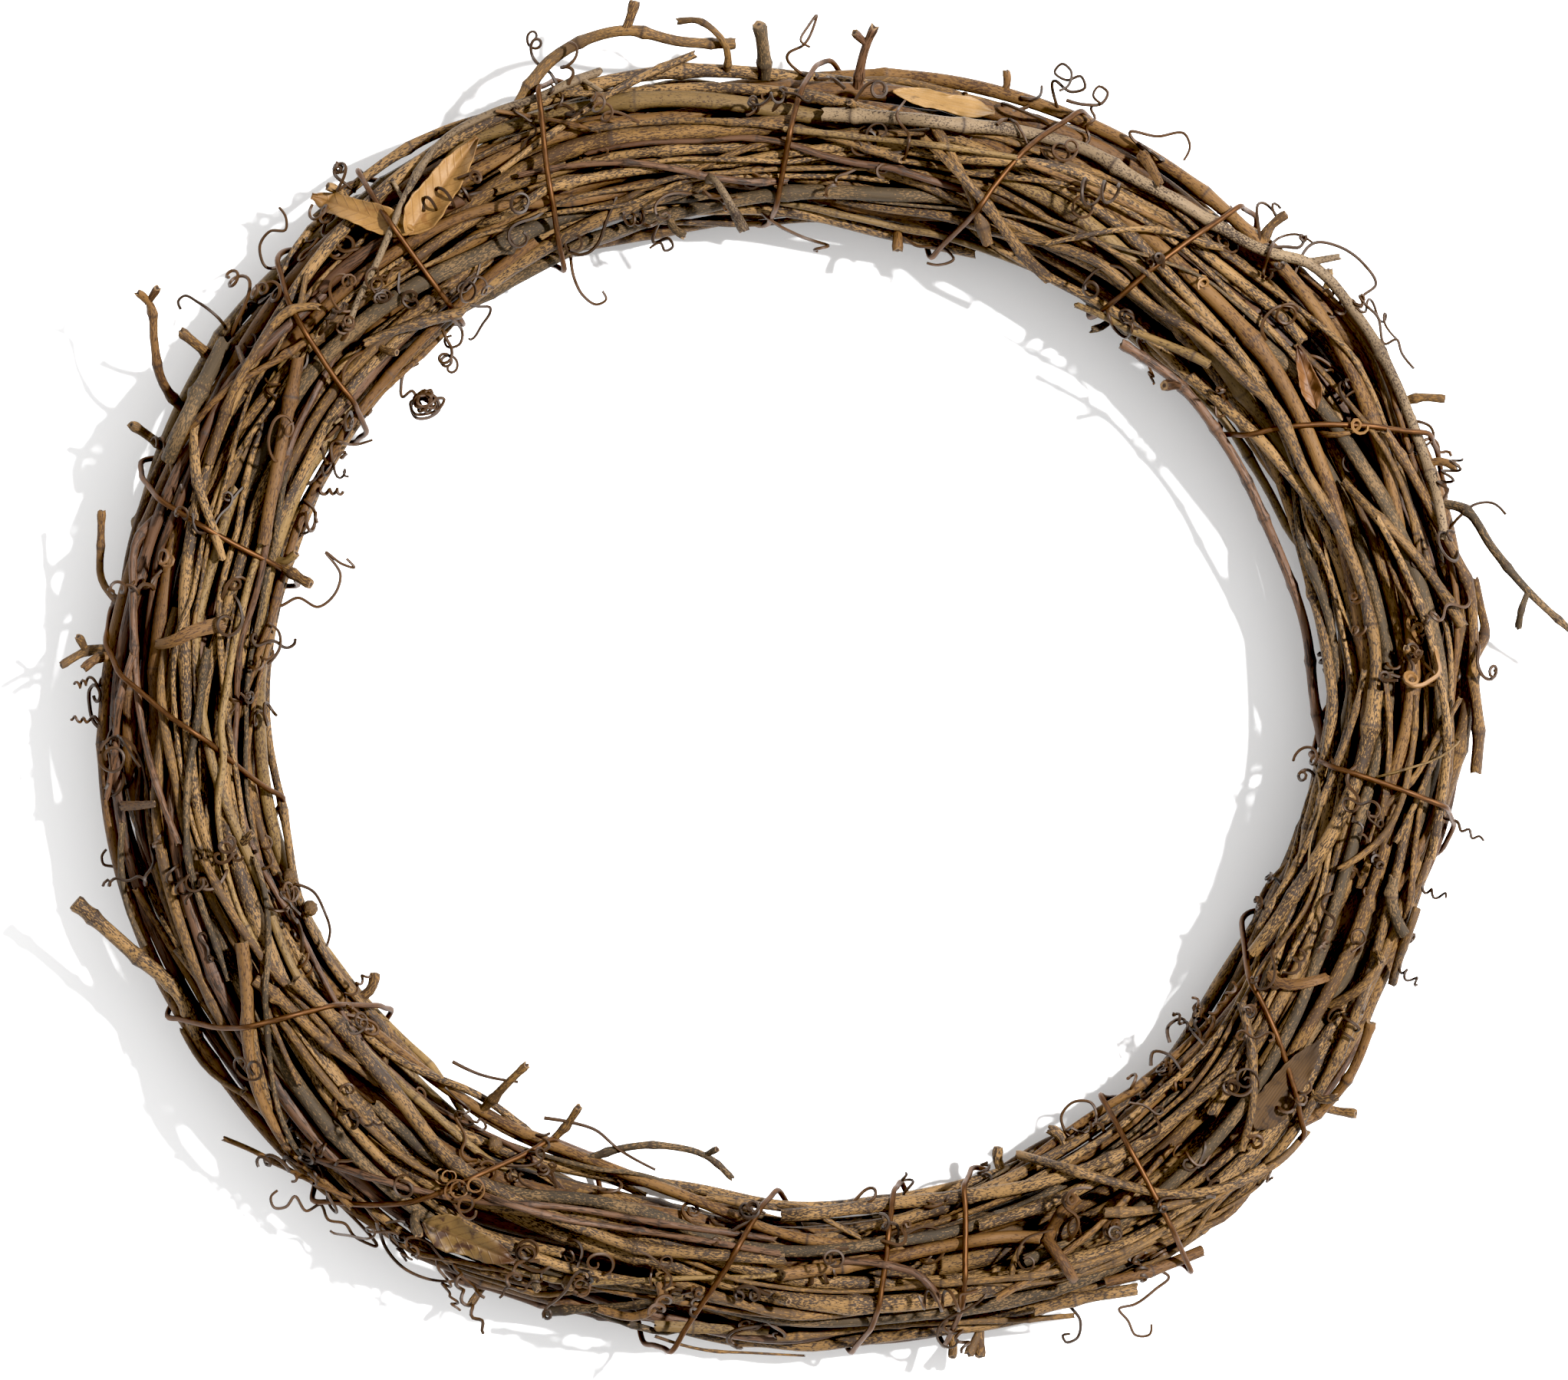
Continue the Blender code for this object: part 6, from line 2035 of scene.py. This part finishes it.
@dataclass
class LooseCurls:
    """The small tendrils that curl over the canes all round the ring, dark ones and a few pale ones."""

    ring: Ring
    finishes: Finishes
    count: int = 120
    radius: Span = (0.4 * MM, 0.58 * MM)
    way_radius: float = 0.5 * MM
    way_climb: float = 1.5 * MM
    ceiling: float = 54 * MM
    overhang: float = 6.5 * MM
    spread: Span = (14, 166)
    sizes_mm: Span = (1.2, 3.2)
    tangled_mm: Span = (1.0, 2.5)
    stems_mm: Span = (1.5, 5)
    loops: Span = (1.0, 2.8)
    steepest: float = 0.9
    sectors: int = 6
    seed: int = 11

    def build(self, bars: Bars) -> None:
        """Builds the curls, one piece for each sector of the ring.

        Args:
            bars: what they lie on.
        """
        random = np.random.default_rng(self.seed)
        skins = [Skin(f"curled_tendrils_{sector + 1}") for sector in range(self.sectors)]
        pale = Skin("pale_tendrils")
        for number in range(self.count):
            degrees = 360 * (number * EVEN_SPREAD % 1)
            form = CURL_ORDER[number % len(CURL_ORDER)]
            turn = math.radians(random.uniform(*self.spread))
            size = random.uniform(*self.sizes_mm) * MM
            self.curl(skins[self.sector(degrees)], bars, form, degrees, turn, size, random)
        for degrees, radius in TANGLES:
            angle = math.radians(degrees)
            share = (radius * MM - self.ring.middle_radius(angle)) / self.ring.half_width(angle)
            for _ in range(random.integers(2, 5)):
                turn = math.acos(max(-self.steepest, min(self.steepest, share))) + random.uniform(-0.15, 0.15)
                near = degrees + random.uniform(-1.6, 1.6)
                form = TANGLE_FORMS[random.integers(0, len(TANGLE_FORMS))]
                size = random.uniform(*self.tangled_mm) * MM
                self.curl(skins[self.sector(degrees)], bars, form, near, turn, size, random)
        for way in LOOSE_WAYS:
            line = over(self.ring, bars, way, self.way_radius, slack=4, step=0.8 * MM)
            line[:, 2] += np.linspace(0.0, self.way_climb, len(line))
            radii = np.linspace(1.0, 0.7, len(line)) * self.way_radius
            skins[self.sector(way[0][0])].wrap(Strand(line, radii), 6, start=way[0][1])
        for degrees, turn, size, thickness in PALE_CURLS:
            self.curl(pale, bars, CurlForm.LOOPS, degrees, turn, size * MM, random, thickness)
        for skin in skins:
            skin.finish(self.finishes.tendril, None, (), BROWN.value)
        pale.finish(self.finishes.pale_tendril, None, (), TAN.value)

    def sector(self, degrees: float) -> int:
        """The number of the sector that an angle is in."""
        return int(degrees / 360 * self.sectors) % self.sectors

    def curl(self, skin: Skin, bars: Bars, form: CurlForm, degrees: float, turn: float, size: float,
             random: Draws, thickness: float = 1.0) -> None:
        """Lays one curl on the bundle.

        Args:
            skin: the piece that it is part of.
            bars: what it lies on.
            form: how it curls.
            degrees: the angle that it grows at.
            turn: its direction in the cross-section, in radians.
            size: the radius of its loops.
            random: the seeded source of every draw.
            thickness: the share of its usual radius that it has.
        """
        angle = math.radians(degrees)
        middle, way = self.ring.in_world(angle, 0.0, 0.0), section_way(angle, turn)
        reach = bars.surface(np.array([middle]), np.array([[way]]), 0.0)[0, 0]
        start = middle + way * (reach - 0.4 * MM)
        side = section_way(angle, turn + math.pi / 2) * random.uniform(-1.2, 1.2)
        heading = (along(angle) * random.choice((-1, 1)) + side + way * random.uniform(0.0, 0.5)).normalized()
        stem = random.uniform(*self.stems_mm) * MM
        knee = start + heading * 0.5 * stem + way * 0.7 * MM
        foot = start + heading * stem + way * 0.9 * MM
        loops = random.uniform(*self.loops)
        points = [start, knee, foot, *form.path(foot, heading, way, size, loops, random)]
        shrunk = self.overhang / max(self.overhang, *(self.ring.overhang(point) for point in points))
        points = [start + (point - start) * shrunk for point in points]
        room = self.ceiling - start.z
        lowered = room / max(room, max(point.z for point in points) - start.z)
        for point in points[1:]:
            point.z = start.z + lowered * (point.z - start.z)
        radii = np.linspace(1.0, 0.8, len(points)) * random.uniform(*self.radius) * thickness
        skin.wrap(Strand.through(points, radii, 0.8 * MM), 5, tone=random.uniform(-0.25, 0.2),
                  start=random.uniform(0, 5))


# Leaves


@dataclass(frozen=True)
class Blade:
    """One blade: the angle and radius (mm) of its middle, its heading, length, width and sideways curl (mm).

    Its outline says how much wider it looks than its solid at even places from its foot to its tip.
    """

    degrees: float
    radius: float
    heading: float
    length: float
    width: float
    curl: float
    outline: tuple[float, ...] = (1.0, 1.0)

    def grid(self, ring: Ring, rows: int, columns: int) -> list[list[Vector]]:
        """The blade's points, as rows across it, laid over the crown of the bundle.

        Args:
            ring: the ring.
            rows: how many steps it has along its midrib.
            columns: how many across.

        Returns:
            The rows of points.
        """
        middle = math.radians(self.degrees)
        turn = math.radians(self.heading)
        midrib = along(middle) * math.cos(turn) + outward(middle) * math.sin(turn)
        across = UP.cross(midrib)
        centre = ring.at(self.degrees, self.radius, 0.0)
        made = []
        for n in range(rows + 1):
            share = n / rows
            bulge = max(0.12, math.sin(math.pi * share ** 0.75) ** 0.8)
            half = 0.5 * self.width * bulge * (1 + 0.12 * math.sin(9 * share))
            row = []
            for m in range(columns + 1):
                side = 2 * m / columns - 1
                point = centre + midrib * (share - 0.5) * self.length * MM + across * side * half * MM
                level = (point - ring.centre).xy
                angle = math.atan2(level.y, level.x)
                x = (level.length - ring.middle_radius(angle)) / ring.half_width(angle)
                crown = ring.half_height * math.sqrt(max(1 - x * x, 0.2))
                wave = 0.5 * math.sin(11 * share + 2 * side) * side * side
                bend = 0.15 * self.length * (share - 0.45) ** 2
                curled = self.curl * side * side * half / (0.5 * self.width)
                point.z = ring.middle_z + crown + (curled + wave + bend) * MM
                row.append(point)
            made.append(row)
        return made


@dataclass(frozen=True)
class Leaf:
    """A dried leaf caught in the ring: the solid that it stands for, its blades and its finish."""

    SOLID_STEPS = (8, 4)
    SHELTER_RADIUS = 0.6 * MM

    node: str
    blades: tuple[Blade, ...]
    finish: DryLeaf

    def rest(self, ring: Ring, bars: Bars, piece: int, thickness: float = 0.7 * MM,
             drop: float = 12 * MM) -> float:
        """Lowers the leaf onto what lies under it, as its solid lies, and adds it to the bars.

        Args:
            ring: the ring.
            bars: everything laid so far.
            piece: the leaf's number among the bars.
            thickness: how thick its solid is.
            drop: how far it is first lowered.

        Returns:
            How far it moved in all.
        """
        places = np.array([blade.grid(ring, *self.SOLID_STEPS) for blade in self.blades])
        flat = places.reshape(-1, 3)
        start = float(flat[0, 2])
        near = bars.near(flat)
        flat[:, 2] -= drop
        while bars.push(flat, 0.5 * thickness, piece, near).any():
            flat[:, 2] += 0.1 * MM
        for grid in places:
            for row in (*grid, *grid.transpose(1, 0, 2)):
                bars.add(piece, row, 0.5 * thickness)
        return float(flat[0, 2]) - start

    def shelter(self, ring: Ring, moved: float, leaves: Bars) -> None:
        """Adds the leaf to the places that the laid stems keep off.

        Args:
            ring: the ring.
            moved: how far the leaf is lowered.
            leaves: those places.
        """
        for blade in self.blades:
            for row in blade.grid(ring, *self.SOLID_STEPS):
                leaves.add(0, [point + UP * moved for point in row], self.SHELTER_RADIUS)

    def build(self, ring: Ring, moved: float, rows: int = 56, columns: int = 22,
              thickness: float = 0.22 * MM) -> None:
        """Builds the leaf as a thin shell with a frayed, waved edge.

        Args:
            ring: the ring.
            moved: how far it is lowered onto what lies under it.
            rows: how many steps a blade has along its midrib.
            columns: how many across.
            thickness: how thick it is.
        """
        shape = bmesh.new()
        layer = shape.verts.layers.float_vector.new("blade_place")
        for number, blade in enumerate(self.blades):
            grid = blade.grid(ring, rows, columns)
            made = bmesh.ops.create_grid(shape, x_segments=columns, y_segments=rows, size=0.5)["verts"]
            for place, corner in enumerate(made):
                n, m = divmod(place, columns + 1)
                side = 2 * m / columns - 1
                s = n / rows + 0.37 * number + 0.1 * len(self.node)
                wider = float(np.interp(n / rows, np.linspace(0, 1, len(blade.outline)), blade.outline))
                fray = 0.07 * math.sin(13 * s) + 0.05 * math.sin(31 * s) * math.sin(17 * s)
                frayed = wider + side * side * fray
                middle = grid[n][columns // 2]
                point = middle + (grid[n][m] - middle) * frayed
                ripple = (0.5 * math.sin(7 * s + 2.5 * side) + 0.35 * math.sin(17 * s - 3 * side)
                          + 0.2 * math.sin(39 * s) * side) * abs(side)
                fold = -0.35 * (1 - min(abs(side) * 4, 1.0))
                corner.co = point + UP * (moved + (ripple + fold) * MM)
                width = (grid[n][m] - middle).length * (1 if side >= 0 else -1)
                corner[layer] = (n / rows * blade.length * MM, width, n / rows)
        bmesh.ops.recalc_face_normals(shape, faces=shape.faces)
        bmesh.ops.solidify(shape, geom=shape.faces[:], thickness=thickness)
        bmesh.ops.recalc_face_normals(shape, faces=shape.faces)
        made = add_shape(f"dried_{self.node}", shape, (self.finish.make(),))
        made.data.shade_smooth()
        join_wreath(made, (self.node,))


LEAVES = (
    Leaf("folded_leaf", (Blade(131.8, 166.5, 62, 29, 7.5, 0.8, (1, 1, 1, 1.15, 1.8)),
                         Blade(124.5, 159.0, 160, 31, 9.5, 3.0)),
         DryLeaf("tan_folded_leaf", "#6c4f29", "#3f2611", "#5a3d1d", "#5f401d", 0.35, 0.9)),
    Leaf("pointed_bract", (Blade(75.6, 158.5, 178, 27, 6.5, 0.8, (0.8, 0.7, 0.8, 1.0, 1.35, 1.6)),),
         DryLeaf("smooth_dry_bract", "#725732", "#2e1d0c", "#4f371d", "#533d20", 0.2, 0.92, vein_mm=0.9,
                 vein_ways=(0.0, 1.0), roughness=0.5, vein_strength=0.1)),
    Leaf("brown_leaf", (Blade(321.7, 163, -2, 28, 10, 1.5),),
         DryLeaf("thin_brown_leaf", "#3a2710", "#201305", "#1e1206", "#23160a", 0.45, 0.8, vein_mm=0.8,
                 vein_ways=(0.0, 1.0), roughness=0.8, vein_strength=0.45)),
    Leaf("blotched_leaf", (Blade(239.5, 164, -7, 26, 9.5, 1.2),),
         DryLeaf("blotched_olive_leaf", "#503b1b", "#321c0a", "#3b260e", "#2c1808", 0.5)),
    Leaf("curled_leaf", (Blade(31.6, 156, 14, 17, 5, 2.0),),
         DryLeaf("curled_brown_leaf", "#57391d", "#321d0f", "#3e2613", "#492f16", 0.4)),
    Leaf("small_leaf", (Blade(199.4, 168, 20, 11, 5, 1.0),),
         DryLeaf("small_tan_leaf", "#5f4422", "#3b2611", "#493219", "#50361b", 0.3)),
)


# Studio


@dataclass
class Studio:
    """A plain pale floor, soft light from the right and a camera straight above, framed as the photograph."""

    ring: Ring
    view_offset: Span = (-2.04 * MM, 1.0 * MM)
    view_width: float = 408.8 * MM
    view_height: float = 1.7
    sensor_mm: float = 36.0
    aim_height: float = 20 * MM
    floor: str = "#f6f6f6"
    key_energy: float = 162.0
    key_size: float = 0.12
    key_place: tuple[float, float, float] = (1.15, 0.42, 1.75)
    sky_strength: float = 1.12
    print_black: tuple[float, float, float] = (0.0155, 0.0137, 0.0122)

    def build(self) -> None:
        """Builds the floor, the lights and the camera."""
        self.lay_floor()
        self.light()
        self.aim()

    def lay_floor(self) -> None:
        """Lays the floor."""
        shape = bmesh.new()
        bmesh.ops.create_grid(shape, x_segments=1, y_segments=1, size=4.0)
        paper = Paint("white_paper_sweep")
        paper.shader.inputs["Base Color"].default_value = linear(self.floor)
        paper.shader.inputs["Roughness"].default_value = 0.9
        add_shape("studio_floor", shape, (paper.material,))

    def light(self) -> None:
        """Hangs a soft key light on the right, and lights the rest from a white room."""
        lamp = bpy.data.lights.new("key_light", "AREA")
        lamp.shape = "DISK"
        lamp.size = self.key_size
        lamp.energy = self.key_energy
        key = add_object("key_light", lamp)
        key.location = self.key_place
        key.rotation_euler = (self.ring.centre - Vector(self.key_place)).to_track_quat("-Z", "Y").to_euler()
        world = bpy.data.worlds.new("white_room")
        world.use_nodes = True
        background = world.node_tree.nodes["Background"]
        background.inputs["Color"].default_value = (1.0, 1.0, 1.0, 1.0)
        background.inputs["Strength"].default_value = self.sky_strength
        bpy.context.scene.world = world
        view = bpy.context.scene.view_settings
        view.view_transform = "Standard"
        view.use_curve_mapping = True
        view.curve_mapping.black_level = self.print_black
        view.curve_mapping.update()

    def aim(self) -> None:
        """Sets the camera straight above."""
        lens = bpy.data.cameras.new("camera")
        lens.sensor_fit = "HORIZONTAL"
        lens.sensor_width = self.sensor_mm
        lens.lens = self.sensor_mm * (self.view_height - self.aim_height) / self.view_width
        lens.clip_start, lens.clip_end = 0.05, 20.0
        camera = add_object("camera", lens)
        x, y = self.view_offset
        camera.location = (self.ring.centre.x + x, self.ring.centre.y + y, self.view_height)
        bpy.context.scene.camera = camera


def main() -> None:
    """Dresses the wreath."""
    logging.basicConfig(level=logging.INFO, format="%(message)s")
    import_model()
    ring = Ring()
    Studio(ring).build()
    finishes = Finishes()
    canes = CaneRoutes(ring)
    bars = Bars(ring.clearance)
    for cane in range(canes.count):
        bars.add(cane, *canes.route(cane))
    leaves = Bars(LEAF_CLEARANCE)
    for number, leaf in enumerate(LEAVES):
        moved = leaf.rest(ring, bars, canes.count + number)
        leaf.build(ring, moved)
        leaf.shelter(ring, moved, leaves)
    binding = BindingWire(ring)
    bars.add(-1, binding.solid(canes, bars), ring.wire_radius)
    shoots = Shoots(canes, bars)
    bundle = Bundle(canes, finishes)
    bundle.build()
    Outgrowth(shoots, finishes).build()
    laid = bundle.bars(ring.clearance)
    LaidStems(ring, finishes, laid, leaves).build()
    binding.build(laid, finishes.wire)
    LooseCurls(ring, finishes).build(laid)


if __name__ == "__main__":
    main()
